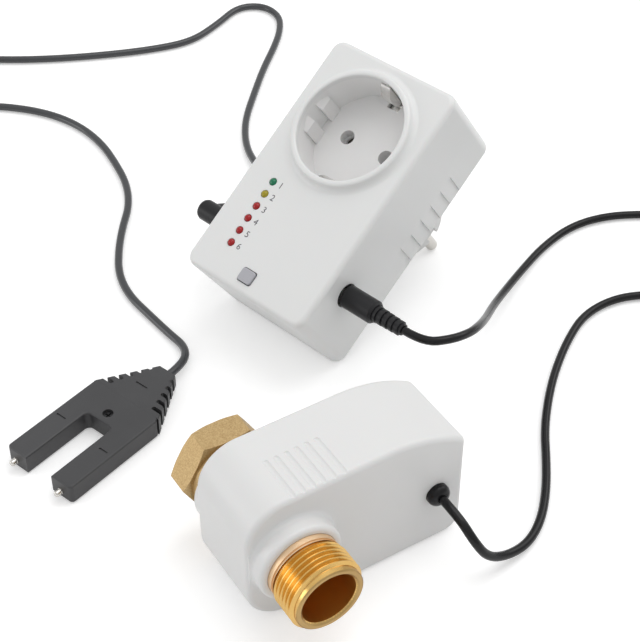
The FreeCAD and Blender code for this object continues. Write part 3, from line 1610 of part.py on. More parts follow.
def sensor_shell(z0, z1, outer_face):
    block = fork(0, 0, sensor_thickness)
    rims = edges_at(block, lambda c, e: min(abs(c.z), abs(c.z - sensor_thickness)) < 0.01)
    block = block.makeFillet(sensor_edge, rims)
    block = block.common(box(-5, sensor_length + 5, -30, 30, z0, z1))
    room = fork(sensor_wall, max(z0, sensor_wall), min(z1, sensor_thickness - sensor_wall))
    block = block.cut(room)
    post_at = V(sensor_screw_x, 0, z0 + 0.4)
    post = cylinder(sensor_screw_radius + sensor_post_wall, post_at, Z, z1 - z0 - 0.8)
    clear = 1.0 if outer_face else 0.0
    block = fused(block, post)
    cuts = []
    for side in (-1, 1):
        y = side * probe_pitch / 2
        cuts.append(cylinder(probe_radius, V(-5, y, sensor_middle), X, probe_in + 5))
    bore = sensor_screw_radius + clear * fit_gap
    bottom = 0.0 if outer_face else 1.6
    cuts.append(cylinder(bore, V(sensor_screw_x, 0, bottom), Z, sensor_thickness))
    if outer_face:
        seat = V(sensor_screw_x, 0, sensor_screw_seat)
        cuts.append(cylinder(sensor_screw_head + fit_gap, seat, Z, 4))
        for x, y0, y1 in shell_marks:
            cuts.append(short_mark(x, y0, y1, sensor_thickness))
    tongue = relief_tongue_half + fit_gap
    deep = relief_tongue_depth + fit_gap
    x0 = sensor_length - relief_tongue
    cuts.append(box(x0, sensor_length + 1, -tongue, tongue, sensor_middle - deep, sensor_middle + deep))
    return block.cut(cuts)


def sensor_relief():
    """The ribbed taper that guards the cord where it leaves."""
    x0 = sensor_length + 0.02
    x1 = relief_end
    end_half_z = relief_end_half_z
    flat = [V(x0, -sensor_half, 0), V(x0, sensor_half, 0), V(x1, relief_half, 0), V(x1, -relief_half, 0)]
    body = polygon_face(flat).extrude(Z * sensor_thickness)
    side = [
        V(x0, -30, 0), V(x1, -30, sensor_middle - end_half_z), V(x1, -30, sensor_middle + end_half_z),
        V(x0, -30, sensor_thickness),
    ]
    body = body.common(polygon_face(side).extrude(Y * 60))
    long_edges = edges_at(body, lambda c, e: x0 + 1 < c.x < x1 - 1)
    body = body.makeFillet(0.8, long_edges)
    cuts = []
    for i in range(relief_gap_count):
        x = x0 + relief_first_gap + i * relief_gap_pitch
        side_y = sensor_half - (sensor_half - relief_half) * (x - x0) / relief_length
        inner = side_y - relief_gap_depth + i * relief_gap_shrink
        for way in (-1, 1):
            near = way * inner
            far = way * (sensor_half + 1)
            low = min(near, far)
            high = max(near, far)
            round_end = relief_gap_width / 2 - 0.05
            cuts.append(slab(x, x + relief_gap_width, low, high, round_end, -1, sensor_thickness + 1))
    x = relief_mark[0]
    top = sensor_thickness - (sensor_middle - end_half_z) * x / relief_length
    cuts.append(short_mark(sensor_length + x, relief_mark[1], relief_mark[2], top))
    body = body.cut(cuts)
    tongue = box(
        sensor_length - relief_tongue + 0.05, x0 + 1, -relief_tongue_half, relief_tongue_half,
        sensor_middle - relief_tongue_depth, sensor_middle + relief_tongue_depth
    )
    return fused(body, tongue)


def probe_pin(side):
    y = side * probe_pitch / 2
    pin = cylinder(probe_radius, V(-probe_out, y, sensor_middle), X, probe_out + probe_in)
    tip = edges_at(pin, lambda c, e: abs(c.x + probe_out) < 0.01)
    return pin.makeFillet(0.7, tip)


def sensor_board():
    z0 = sensor_middle - sensor_board_thickness / 2
    z1 = z0 + sensor_board_thickness
    half = sensor_half - sensor_wall - 1.6
    plate = box(slot_length + 2.0, sensor_length - relief_tongue - 0.4, -half, half, z0, z1)
    arms = []
    for side in (-1, 1):
        y = side * probe_pitch / 2
        y0 = y - sensor_arm_width / 2
        arms.append(box(probe_in, slot_length + 3.0, y0, y0 + sensor_arm_width, z0, z1))
    plate = fused(plate, *arms)
    clear = sensor_screw_radius + sensor_post_wall + 0.4
    return plate.cut(cylinder(clear, V(sensor_screw_x, 0, 0), Z, sensor_thickness))


def sensor_screw():
    top = sensor_thickness - sensor_screw_recess
    head = cylinder(sensor_screw_head, V(sensor_screw_x, 0, sensor_screw_seat), Z, sensor_screw_head_height)
    shank_start = V(sensor_screw_x, 0, 1.8)
    shank = cylinder(sensor_screw_radius - run_gap, shank_start, Z, sensor_screw_seat + 0.1 - 1.8)
    cross = [
        box(sensor_screw_x - 1.4, sensor_screw_x + 1.4, -0.3, 0.3, top - 0.9, top + 1),
        box(sensor_screw_x - 0.3, sensor_screw_x + 0.3, -1.4, 1.4, top - 0.9, top + 1),
    ]
    return fused(head, shank).cut(cross)


sensor_keep("sensor_top_shell", sensor_shell(sensor_middle, sensor_thickness, True))
sensor_keep("sensor_bottom_shell", sensor_shell(0, sensor_middle, False))
sensor_keep("sensor_strain_relief", sensor_relief())
sensor_keep("probe_pin_left", probe_pin(1))
sensor_keep("probe_pin_right", probe_pin(-1))
sensor_keep("sensor_board", sensor_board())
sensor_keep("sensor_screw", sensor_screw())


# Cords. Every free stretch is a list of route points; the coils are wound by a formula.

floor_level = cord_diameter / 2
sensor_coil = coil_tube(
    "sensor_cord_coil", sensor_coil_centre, sensor_coil_start, sensor_coil_turns,
    sensor_coil_layers, 1, cord_diameter
)
valve_coil = coil_tube(
    "valve_cord_coil", valve_coil_centre, valve_coil_start, valve_coil_turns,
    valve_coil_layers, -1, cord_diameter
)


def on_floor(points):
    """Route points from (x, y) or (x, y, z); without a height they lie on the floor."""
    return [V(p[0], p[1], p[2] if len(p) > 2 else floor_level) for p in points]


exit_a = ctrl_point(neck_x, jack_y, jack_z) + ctrl_way(neck_way) * sensor_neck_length
way_a = ctrl_way(neck_way)
exit_b = ctrl_point(half_width + valve_plug_length + valve_relief_length, jack_y, jack_z)
way_b = ctrl_way(X)
exit_c = sensor_frame.multVec(V(relief_end, 0, sensor_middle))
way_c = sensor_frame.Rotation.multVec(X)
exit_d = V(grommet_x, -valve_half - grommet_dome, grommet_z)

route_a = on_floor([
    (94, 151.5, 15.6), (103, 163, 10.8), (107, 178, 6.6), (108.5, 194, 3.2), (113, 210), (122, 226),
    (136, 242), (150, 257.5), (163.5, 270.5), (173.5, 281.5), (180.5, 293.5), (178.5, 306), (167, 311.5),
    (151, 303), (133, 296), (113, 300), (91, 308), (69, 318), (50, 329),
])
route_b = on_floor([
    (93.9, 30.9, 34.8), (103.5, 32.3, 32.3), (112.6, 38.2, 27.3), (122, 46.5, 20), (133, 56.5, 13),
    (146, 66, 7.4), (162, 76, 3.2), (180, 85), (198, 89.5), (214, 87.5), (229, 80),
])
route_c = on_floor([
    (24, 301), (39, 290), (51, 276), (58, 260), (60, 243), (58.5, 227), (56, 212), (50, 198), (41, 186.4),
    (33, 174), (26.5, 161), (24, 147), (25.5, 132.5), (27, 119), (28.2, 108.2, 2.6),
])
route_d = on_floor([
    (199, 39), (185, 45), (169, 44), (155, 36.5), (140, 25.5), (128, 14.5), (117, 2.5), (108.5, -9.5),
    (99.5, -21), (90, -30.5), (80, -36.5, 1.7), (69.5, -38.3, 3.7), (61, -38.5, 8.6), (56.6, -36.3, 16.9),
])


def joined(start, way, route, end, way_out, last):
    """A route from one seat to another: it leaves straight along way and arrives straight along way_out."""
    first_run = 9.4
    return [start, start + way * first_run] + route + [end - way_out * last, end]


length_a, start_a, from_a, end_a, leave_a = sensor_coil
length_b, start_b, from_b, end_b, leave_b = valve_coil
points_a = joined(exit_a, way_a, route_a, start_a, from_a, 20.0)
points_b = joined(exit_b, way_b, route_b, start_b, from_b, 14.0)
points_c = joined(exit_c, way_c, route_c[::-1], end_a, leave_a * -1, 15.0)
points_d = joined(exit_d, Y * -1, route_d[::-1], end_b, leave_b * -1, 14.0)
sensor_total = length_a + cord_tube("sensor_cord_plug_end", points_a, cord_diameter)
sensor_total += cord_tube("sensor_cord_sensor_end", points_c, cord_diameter)
valve_total = length_b + cord_tube("valve_cord_plug_end", points_b, cord_diameter)
valve_total += cord_tube("valve_cord_valve_end", points_d, cord_diameter)
print("sensor cord %.0f mm, valve cord %.0f mm" % (sensor_total, valve_total))

for name, shape in parts.items():
    if not shape.isValid():
        print("not valid:", name)
    shape.exportStep("parts/%s.step" % name)
print(len(parts), "pieces")
print("controller tilt %.2f lift %.2f" % (math.degrees(ctrl_tilt), ctrl_lift))
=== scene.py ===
"""Looks for a water leak shutoff kit: plug-in controller, motor ball valve, forked sensor and two cords."""

import logging
import math
from dataclasses import dataclass, field
from enum import Enum
from typing import Callable, Optional, Sequence

import bpy
from mathutils import Matrix, Vector


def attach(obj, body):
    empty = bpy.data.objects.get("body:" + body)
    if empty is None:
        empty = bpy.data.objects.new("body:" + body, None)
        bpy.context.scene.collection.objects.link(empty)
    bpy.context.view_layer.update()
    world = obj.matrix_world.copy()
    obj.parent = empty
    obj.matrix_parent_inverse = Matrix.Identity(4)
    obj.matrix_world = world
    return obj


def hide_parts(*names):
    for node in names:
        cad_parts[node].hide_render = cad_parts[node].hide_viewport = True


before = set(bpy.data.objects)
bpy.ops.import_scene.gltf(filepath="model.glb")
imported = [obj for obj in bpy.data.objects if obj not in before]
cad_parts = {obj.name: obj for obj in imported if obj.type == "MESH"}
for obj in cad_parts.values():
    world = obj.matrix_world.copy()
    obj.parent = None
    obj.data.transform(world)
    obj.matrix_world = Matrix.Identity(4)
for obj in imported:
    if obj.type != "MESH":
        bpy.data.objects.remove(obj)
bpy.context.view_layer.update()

logging.basicConfig(level=logging.INFO, format="%(levelname)s %(message)s")
log = logging.getLogger("leak_kit")

MM = 0.001
PIPE_HEIGHT = 28.0  # of the valve's pipe axis, in millimetres
UP = Vector((0.0, 0.0, 1.0))
Point = tuple[float, float, float]
Colour = tuple[float, float, float]
Piece = bpy.types.Object
Tree = bpy.types.NodeTree
Node = bpy.types.Node
Socket = bpy.types.NodeSocket


class Body(Enum):
    """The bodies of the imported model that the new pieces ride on."""

    HOUSINGS = "housings"
    BUTTON = "button"
    BALL_DRIVE = "ball_drive"


class Slot(Enum):
    """The record's material slots, listed beside the new pieces' finishes."""

    WHITE = "white_plastic"
    GREY = "grey_plastic"
    BLACK = "black_plastic"
    DARK = "dark_plastic"
    RUBBER = "black_rubber"
    BRASS = "brass"
    PLATED = "plated_brass"
    STEEL = "spring_steel"
    GREY_CORD = "grey_cord"
    BLACK_CORD = "black_cord"
    GREEN_LENS = "led_green"
    YELLOW_LENS = "led_yellow"
    RED_LENS = "led_red"


# Shader trees


class Wiring:
    """Adds shader nodes to a tree and joins their sockets."""

    def __init__(self, tree: Tree) -> None:
        """Keeps the tree.

        Args:
            tree: The node tree.
        """
        self.tree = tree

    def add(self, kind: str, group: Optional[Tree] = None, **values: float | Point) -> Node:
        """Adds a node and sets its inputs.

        Args:
            kind: The node's type, without its prefix.
            group: The shared effect, for a group node.
            values: Values of the inputs by name, with a low line for a space.

        Returns:
            The node.
        """
        node = self.tree.nodes.new(f"ShaderNode{kind}")
        if group is not None:
            node.node_tree = group
        for label, value in values.items():
            node.inputs[label.replace("_", " ")].default_value = value
        return node

    def link(self, source: Node, output: str | int, target: Node, label: str | int) -> None:
        """Joins an output of one node to an input of another."""
        self.tree.links.new(source.outputs[output], target.inputs[label])

    def blend(self, low: Colour, high: Colour) -> Node:
        """Adds a mix of two colours, with its share in input 0 and its result in output 2."""
        mix = self.add("Mix")
        mix.data_type = "RGBA"
        mix.inputs[6].default_value = (*low, 1.0)
        mix.inputs[7].default_value = (*high, 1.0)
        return mix

    def relief(self, source: Node, depth: float, strength: float = 0.5) -> Node:
        """Adds a bump that follows a node's output Height.

        Args:
            source: The node.
            depth: Height of the bump, in millimetres.
            strength: Its strength.

        Returns:
            The bump node.
        """
        bump = self.add("Bump", Strength=strength, Distance=depth * MM)
        self.link(source, "Height", bump, "Height")
        return bump

    def combine(self, operation: str, first: Socket, second: Socket | float) -> Socket:
        """Reckons with two values.

        Args:
            operation: The name of the operation.
            first: The first value.
            second: The second value, as a socket or a constant.

        Returns:
            The result.
        """
        node = self.add("Math")
        node.operation = operation
        self.tree.links.new(first, node.inputs[0])
        if isinstance(second, float):
            node.inputs[1].default_value = second
        else:
            self.tree.links.new(second, node.inputs[1])
        return node.outputs["Value"]


class ShaderGroups:
    """Builds the shared surface effects once and hands them out as node groups."""

    def __init__(self) -> None:
        """Builds every group."""
        self.grain = self._grain()
        self.smudge = self._smudge()
        self.brushed = self._brushed()
        self.speckle = self._speckle()

    @staticmethod
    def _new(
        name: str, inputs: dict[str, float], outputs: Sequence[str]
    ) -> tuple[Wiring, Node, Node, Node]:
        """Starts a group with number inputs and number outputs.

        Args:
            name: The group's name.
            inputs: Start values of its inputs, by name.
            outputs: Names of its outputs.

        Returns:
            The group's wiring, its input node, its output node and its coordinates.
        """
        tree = bpy.data.node_groups.new(name, "ShaderNodeTree")
        for label, value in inputs.items():
            socket = tree.interface.new_socket(label, in_out="INPUT", socket_type="NodeSocketFloat")
            socket.default_value = value
        for label in outputs:
            tree.interface.new_socket(label, in_out="OUTPUT", socket_type="NodeSocketFloat")
        wires = Wiring(tree)
        given, put = tree.nodes.new("NodeGroupInput"), tree.nodes.new("NodeGroupOutput")
        return wires, given, put, wires.add("TexCoord")

    def _grain(self) -> Tree:
        """Makes the fine spark-eroded grain of moulded plastic and cast metal.

        Returns:
            A group with the outputs Height and Tone.
        """
        wires, given, put, where = self._new(
            "moulded_grain", {"Scale": 2000.0, "Soft Scale": 60.0}, ["Height", "Tone"]
        )
        fine = wires.add("TexNoise", Detail=3.0, Roughness=0.6)
        soft = wires.add("TexNoise", Detail=4.0)
        for noise, scale, output in ((fine, "Scale", "Height"), (soft, "Soft Scale", "Tone")):
            wires.link(where, "Object", noise, "Vector")
            wires.link(given, scale, noise, "Scale")
            wires.link(noise, "Fac", put, output)
        return wires.tree

    def _smudge(self) -> Tree:
        """Makes faint hand marks that change the gloss in soft patches.

        Returns:
            A group with the output Mask, from 0 to 1.
        """
        wires, given, put, where = self._new(
            "handling_marks", {"Scale": 18.0, "Low": 0.3, "High": 0.75}, ["Mask"]
        )
        cloud = wires.add("TexNoise", Detail=2.0, Roughness=0.4)
        span = wires.add("MapRange")
        wires.link(where, "Object", cloud, "Vector")
        wires.link(given, "Scale", cloud, "Scale")
        wires.link(cloud, "Fac", span, "Value")
        wires.link(given, "Low", span, "From Min")
        wires.link(given, "High", span, "From Max")
        wires.link(span, "Result", put, "Mask")
        return wires.tree

    def _brushed(self) -> Tree:
        """Makes fine turning marks round the pipe axis.

        Returns:
            A group with the output Height.
        """
        wires, given, put, where = self._new("turning_marks", {"Scale": 900.0}, ["Height"])
        centre = wires.add("Mapping", Location=(0.0, 0.0, -PIPE_HEIGHT * MM))
        rings = wires.add("TexWave", Distortion=1.5, Detail=3.0, Detail_Scale=2.0)
        rings.wave_type = "RINGS"
        rings.rings_direction = "Y"
        wires.link(where, "Object", centre, "Vector")
        wires.link(centre, "Vector", rings, "Vector")
        wires.link(given, "Scale", rings, "Scale")
        wires.link(rings, "Fac", put, "Height")
        return wires.tree

    def _speckle(self) -> Tree:
        """Makes the small pits and bright specks of metal that was cast and blasted with grit.

        Returns:
            A group with the outputs Mask and Height.
        """
        wires, given, put, where = self._new("blasted_specks", {"Scale": 1500.0}, ["Mask", "Height"])
        pits = wires.add("TexVoronoi", Randomness=1.0)
        pits.feature = "SMOOTH_F1"
        cloud = wires.add("TexNoise", Detail=4.0, Roughness=0.7)
        span = wires.add("MapRange", From_Min=0.35, From_Max=0.68)
        for texture in (pits, cloud):
            wires.link(where, "Object", texture, "Vector")
            wires.link(given, "Scale", texture, "Scale")
        wires.link(cloud, "Fac", span, "Value")
        wires.link(span, "Result", put, "Mask")
        wires.link(pits, "Distance", put, "Height")
        return wires.tree


GROUPS = ShaderGroups()


# Finishes


@dataclass(frozen=True)
class Finish:
    """A painted, moulded or machined surface with fine grain, soft tone changes and hand marks.

    Args:
        name: The material's name.
        colour: The main colour.
        shade: The colour that it drifts to in soft patches.
        roughness: The plain roughness.
        rough_drift: How much rougher the hand marks are.
        metallic: 1 for bare metal.
        grain: Scale of the grain, in cycles per metre.
        grain_depth: Height of the grain, in millimetres.
        tone_scale: Scale of the soft patches.
        coat: Weight of a clear gloss layer.
        subsurface: Share of light that wanders under the surface.
        specular: Reflection level of the bare surface.
    """

    name: str
    colour: Colour
    shade: Colour
    roughness: float
    rough_drift: float = 0.05
    metallic: float = 0.0
    grain: float = 2500.0
    grain_depth: float = 0.01
    tone_scale: float = 40.0
    coat: float = 0.0
    subsurface: float = 0.0
    specular: float = 0.5

    def material(self) -> bpy.types.Material:
        """Builds the material, or hands out the one that is already there.

        Returns:
            The finish as a material.
        """
        known = bpy.data.materials.get(self.name)
        if known is not None:
            return known
        made = bpy.data.materials.new(self.name)
        made.use_nodes = True
        wires = Wiring(made.node_tree)
        shader = made.node_tree.nodes["Principled BSDF"]
        for label, value in (
            ("Metallic", self.metallic), ("Coat Weight", self.coat), ("Coat Roughness", 0.08),
            ("Subsurface Weight", self.subsurface), ("Subsurface Scale", 0.002),
            ("Specular IOR Level", self.specular),
        ):
            shader.inputs[label].default_value = value
        grain = wires.add("Group", GROUPS.grain, Scale=self.grain, Soft_Scale=self.tone_scale)
        mix = wires.blend(self.colour, self.shade)
        wires.link(grain, "Tone", mix, 0)
        wires.link(mix, 2, shader, "Base Color")
        marks = wires.add("Group", GROUPS.smudge)
        gloss = wires.add("MapRange", To_Min=self.roughness, To_Max=self.roughness + self.rough_drift)
        wires.link(marks, "Mask", gloss, "Value")
        wires.link(gloss, "Result", shader, "Roughness")
        bump = wires.relief(grain, self.grain_depth)
        wires.link(bump, "Normal", shader, "Normal")
        self.extend(wires, shader, bump)
        return made

    def extend(self, wires: Wiring, shader: Node, bump: Node) -> None:
        """A place for a finish of its own kind to add to the material.

        Args:
            wires: The material's wiring.
            shader: Its surface shader.
            bump: The grain's bump node.
        """


@dataclass(frozen=True)
class TurnedFinish(Finish):
    """Machined metal with turning marks round the pipe axis."""

    marks: float = 900.0
    marks_depth: float = 0.01

    def extend(self, wires: Wiring, shader: Node, bump: Node) -> None:
        """Adds the turning marks under the grain."""
        rings = wires.add("Group", GROUPS.brushed, Scale=self.marks)
        wires.link(wires.relief(rings, self.marks_depth), "Normal", bump, "Normal")


@dataclass(frozen=True)
class BlastedFinish(Finish):
    """Cast metal that was blasted with grit: specks of tone and a pitted skin.

    Args:
        specks: Scale of the specks, in cycles per metre.
        pits: Depth of the pits, in millimetres.
        speck: The colour of the bright specks.
    """

    specks: float = 1500.0
    pits: float = 0.05
    speck: Colour = (0.8, 0.6, 0.3)

    def extend(self, wires: Wiring, shader: Node, bump: Node) -> None:
        """Adds specks to the colour and pits under the grain."""
        dots = wires.add("Group", GROUPS.speckle, Scale=self.specks)
        mix = wires.blend(self.colour, self.speck)
        wires.tree.links.new(shader.inputs["Base Color"].links[0].from_socket, mix.inputs[6])
        wires.link(dots, "Mask", mix, 0)
        wires.link(mix, 2, shader, "Base Color")
        wires.link(wires.relief(dots, self.pits, 0.6), "Normal", bump, "Normal")


@dataclass(frozen=True)
class LensFinish(Finish):
    """The tinted resin of an unlit lamp: a clear gloss over a deep colour."""

    grain_depth: float = 0.001
    coat: float = 0.25
    specular: float = 0.3

    def extend(self, wires: Wiring, shader: Node, bump: Node) -> None:
        """Makes the resin glossy and a little deep."""
        shader.inputs["Coat Roughness"].default_value = 0.03
        shader.inputs["Subsurface Radius"].default_value = (1.0, 0.6, 0.6)


CONTROLLER_WHITE = Finish(
    "controller_white", (0.76, 0.765, 0.76), (0.735, 0.74, 0.735), 0.3, 0.03, grain_depth=0.005,
    subsurface=0.03,
)
SOCKET_WHITE = Finish(
    "socket_white", (0.81, 0.805, 0.8), (0.78, 0.775, 0.77), 0.28, 0.04, grain_depth=0.005, subsurface=0.03
)
PLUG_WHITE = Finish("plug_white", (0.74, 0.74, 0.73), (0.71, 0.71, 0.7), 0.36, 0.05, grain_depth=0.008)
VALVE_WHITE = Finish(
    "valve_white", (0.76, 0.76, 0.755), (0.735, 0.735, 0.73), 0.36, 0.05, grain=1800.0, grain_depth=0.012,
    subsurface=0.04,
)
SENSOR_BLACK = Finish(
    "sensor_black", (0.03, 0.03, 0.032), (0.064, 0.064, 0.067), 0.4, 0.12, grain=1500.0, grain_depth=0.02,
    tone_scale=28.0,
)
PLUG_BLACK = Finish(
    "plug_black", (0.01, 0.01, 0.011), (0.015, 0.015, 0.017), 0.3, 0.1, grain=1500.0, grain_depth=0.012,
    specular=0.3,
)
GROMMET_RUBBER = Finish(
    "grommet_rubber", (0.004, 0.004, 0.0045), (0.007, 0.007, 0.008), 0.2, 0.12, grain=1200.0,
    coat=0.12, specular=0.2,
)
SENSOR_CORD = Finish(
    "sensor_cord_sheath", (0.028, 0.03, 0.034), (0.038, 0.04, 0.044), 0.26, 0.1, grain=900.0,
    grain_depth=0.012, coat=0.35,
)
VALVE_CORD = Finish(
    "valve_cord_sheath", (0.003, 0.003, 0.0035), (0.005, 0.005, 0.006), 0.18, 0.1, grain=900.0,
    grain_depth=0.01, coat=0.12, specular=0.25,
)
GREY_BUTTON = Finish("grey_button", (0.42, 0.42, 0.45), (0.39, 0.39, 0.42), 0.38, 0.06, grain_depth=0.01)
NICKEL = Finish(
    "nickel_plate", (0.7, 0.68, 0.64), (0.62, 0.6, 0.57), 0.17, 0.12, metallic=1.0, grain=1600.0,
    grain_depth=0.006,
)
SPRING_STEEL = Finish(
    "spring_steel_strip", (0.82, 0.81, 0.79), (0.7, 0.69, 0.67), 0.14, 0.14, metallic=1.0, grain=1500.0,
    grain_depth=0.008,
)
ZINC_SCREW = Finish("zinc_screw", (0.5, 0.5, 0.52), (0.4, 0.4, 0.42), 0.28, 0.15, metallic=1.0)
DARK_SCREW = Finish("blackened_screw", (0.03, 0.03, 0.032), (0.05, 0.05, 0.052), 0.4, 0.1, metallic=0.6)
CHROME_BALL = Finish(
    "chrome_ball", (0.8, 0.8, 0.81), (0.76, 0.76, 0.77), 0.06, 0.04, metallic=1.0, grain_depth=0.002
)
TURNED_BRASS = TurnedFinish(
    "turned_brass", (0.80, 0.53, 0.19), (0.68, 0.42, 0.13), 0.2, 0.12, metallic=1.0, grain_depth=0.006,
    tone_scale=90.0,
)
# Painted shade: this darker, more orange brass stands in for the shade inside the bore.
BORE_BRASS_PAINTED_SHADE = TurnedFinish(
    "bore_brass_painted_shade", (0.72, 0.36, 0.07), (0.6, 0.28, 0.05), 0.42, 0.1, metallic=1.0, grain_depth=0.01,
)
NECK_BRASS = TurnedFinish(
    "neck_brass", (0.86, 0.64, 0.42), (0.78, 0.55, 0.34), 0.42, 0.1, metallic=0.9, grain_depth=0.01,
)
FACE_BRASS = TurnedFinish(
    "faced_brass", (0.55, 0.37, 0.15), (0.43, 0.28, 0.11), 0.36, 0.1, metallic=1.0, grain_depth=0.01,
)
CAST_BRASS = BlastedFinish(
    "blasted_brass", (0.46, 0.31, 0.14), (0.39, 0.26, 0.115), 0.46, 0.1, metallic=0.9, grain=1100.0,
    grain_depth=0.02, tone_scale=110.0, specks=2000.0, pits=0.03, speck=(0.62, 0.46, 0.24),
)
SEAL_WHITE = Finish("seal_white", (0.85, 0.85, 0.83), (0.8, 0.8, 0.78), 0.4, 0.1, subsurface=0.1)
ACETAL = Finish("gear_acetal", (0.72, 0.7, 0.62), (0.68, 0.66, 0.58), 0.35, 0.1, subsurface=0.05)
BOARD_GREEN = Finish(
    "board_green", (0.02, 0.14, 0.06), (0.03, 0.18, 0.08), 0.3, 0.1, grain=500.0, grain_depth=0.02
)
RELAY_BLUE = Finish("relay_blue", (0.03, 0.1, 0.34), (0.03, 0.08, 0.28), 0.3, 0.1)
PART_BLACK = Finish("component_black", (0.02, 0.02, 0.022), (0.03, 0.03, 0.032), 0.45, 0.1)
INK = Finish("printed_ink", (0.09, 0.09, 0.1), (0.12, 0.12, 0.13), 0.5, 0.05, grain_depth=0.004)
GREEN_LENS = LensFinish("green_lens", (0.004, 0.19, 0.085), (0.003, 0.15, 0.07), 0.14, 0.04)
YELLOW_LENS = LensFinish("yellow_lens", (0.36, 0.29, 0.008), (0.3, 0.24, 0.006), 0.14, 0.04)
RED_LENS = LensFinish("red_lens", (0.38, 0.004, 0.006), (0.3, 0.003, 0.005), 0.14, 0.04)


# Places


@dataclass(frozen=True)
class Place:
    """Where a unit stands: its own frame in millimetres, set into the common frame in metres.

    Args:
        origin: The unit's origin, in millimetres.
        across: Direction of its x.
        along: Direction of its y.
        up: Direction of its z.
    """

    origin: Vector
    across: Vector
    along: Vector
    up: Vector

    @property
    def matrix(self) -> Matrix:
        """The change from the unit's millimetres to the common frame's metres."""
        turn = Matrix((self.across, self.along, self.up)).transposed().to_4x4()
        return Matrix.Translation(self.origin * MM) @ turn @ Matrix.Scale(MM, 4)

    def point(self, x: float, y: float, z: float) -> Vector:
        """A point of the unit, in the common frame's metres."""
        return self.matrix @ Vector((x, y, z))


def controller_place() -> Place:
    """Works out how the controller leans on its two pins and its lower back edge.

    Returns:
        The controller's place: x across, y from the socket end to the button end, z down from the face.
    """
    width, length, depth, edge = 59.0, 102.0, 41.0, 3.0
    plug_y, pin_radius, pin_tip = 37.5, 2.4, 83.0
    run = (length - edge) - plug_y
    rise = (pin_tip - pin_radius) - (depth - edge)
    tilt = math.atan2(rise, run) - math.asin((edge - pin_radius) / math.hypot(run, rise))
    turn = math.radians(-165.1)
    heading = Vector((math.cos(turn), math.sin(turn), 0.0))
    along = heading * math.cos(tilt) - UP * math.sin(tilt)
    out = heading * math.sin(tilt) + UP * math.cos(tilt)
    across = out.cross(along)
    lift = plug_y * math.sin(tilt) + (pin_tip - pin_radius) * math.cos(tilt) + pin_radius
    corner = Vector((118.2, 143.6, lift))
    return Place(corner + across * (width / 2), across, along, -out)


def sensor_place() -> Place:
    """Gives the sensor's place: x from the prong tips to the cable, y to the left, z up."""
    turn = math.radians(18.3)
    across = Vector((math.cos(turn), math.sin(turn), 0.0))
    along = Vector((-math.sin(turn), math.cos(turn), 0.0))
    return Place(Vector((-46.3, 76.4, 0.0)), across, along, UP)


CONTROLLER = controller_place()
SENSOR = sensor_place()
VALVE = Place(Vector((0.0, 0.0, 0.0)), Vector((1.0, 0.0, 0.0)), Vector((0.0, 1.0, 0.0)), UP)


# Modelling helpers

Step = tuple[float, float]
SMOOTH_ANGLE = 32.0  # edges flatter than this are shaded smooth, in degrees
FACING = 0.9  # a face looks along an axis where its normal reaches this share of it
LOOSE = 0.000002  # corners of packed triangles that lie closer together are one corner, in metres


def deselect() -> None:
    """Leaves edit mode and deselects everything."""
    if bpy.context.mode != "OBJECT":
        bpy.ops.object.mode_set(mode="OBJECT")
    bpy.ops.object.select_all(action="DESELECT")


def only(piece: Piece) -> None:
    """Makes a piece the only selected and the active one."""
    deselect()
    piece.select_set(True)
    bpy.context.view_layer.objects.active = piece


def edit_all(piece: Piece) -> None:
    """Opens a piece for editing with everything selected."""
    only(piece)
    bpy.ops.object.mode_set(mode="EDIT")
    bpy.ops.mesh.select_all(action="SELECT")


def end_edit() -> None:
    """Ends the editing of a piece."""
    bpy.ops.object.mode_set(mode="OBJECT")


def finish_piece(
    piece: Piece, name: str, finish: Finish, place: Optional[Place] = None,
    node: Optional[str] = None, body: Body = Body.HOUSINGS,
) -> Piece:
    """Names, dresses and seats a new piece.

    Args:
        piece: The piece, still in its unit's millimetres when a place is given.
        name: Its name.
        finish: What it looks like.
        place: The unit's place.
        node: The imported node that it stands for.
        body: The body it rides on.

    Returns:
        The piece.
    """
    piece.name = name
    piece.data.name = name
    if place is not None:
        piece.data.transform(place.matrix)
        piece.matrix_world = Matrix.Identity(4)
    piece.data.materials.clear()
    piece.data.materials.append(finish.material())
    if node is not None:
        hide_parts(node)
    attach(piece, body.value)
    log.info("%s: %d faces", name, len(piece.data.polygons))
    return piece


def put_in(name: str, data: bpy.types.ID) -> Piece:
    """Makes an object of some data and puts it into the scene."""
    piece = bpy.data.objects.new(name, data)
    bpy.context.scene.collection.objects.link(piece)
    return piece


def twin(piece: Piece) -> Piece:
    """Copies a piece with a mesh of its own."""
    only(piece)
    bpy.ops.object.duplicate(linked=False)
    return bpy.context.object


def join(pieces: Sequence[Piece]) -> Piece:
    """Makes one piece of several."""
    deselect()
    for piece in pieces:
        piece.select_set(True)
    bpy.context.view_layer.objects.active = pieces[0]
    bpy.ops.object.join()
    return bpy.context.object


def stand(piece: Piece, at: Point, way: Point) -> Piece:
    """Turns a piece that was made upright so that it points another way, at its place.

    Args:
        piece: The piece, made on z.
        at: Where its origin goes.
        way: Where its z points.

    Returns:
        The piece.
    """
    turn = UP.rotation_difference(Vector(way)).to_matrix().to_4x4()
    piece.data.transform(Matrix.Translation(Vector(at)) @ turn)
    return piece


def quarter_round(radius: float, edge: float, height: float, count: int = 6) -> list[Step]:
    """Lists the rings of a rounded rim that ends a turned piece.

    Args:
        radius: The piece's radius below the rim.
        edge: Radius of the rounding.
        height: Height of the piece's end.
        count: Number of rings.

    Returns:
        Radius and height of each ring, from the side to the end.
    """
    rings = []
    for i in range(count + 1):
        angle = math.pi / 2 * i / count
        inner = max(radius - edge + edge * math.cos(angle), 0.04)
        rings.append((inner, height - edge + edge * math.sin(angle)))
    return rings


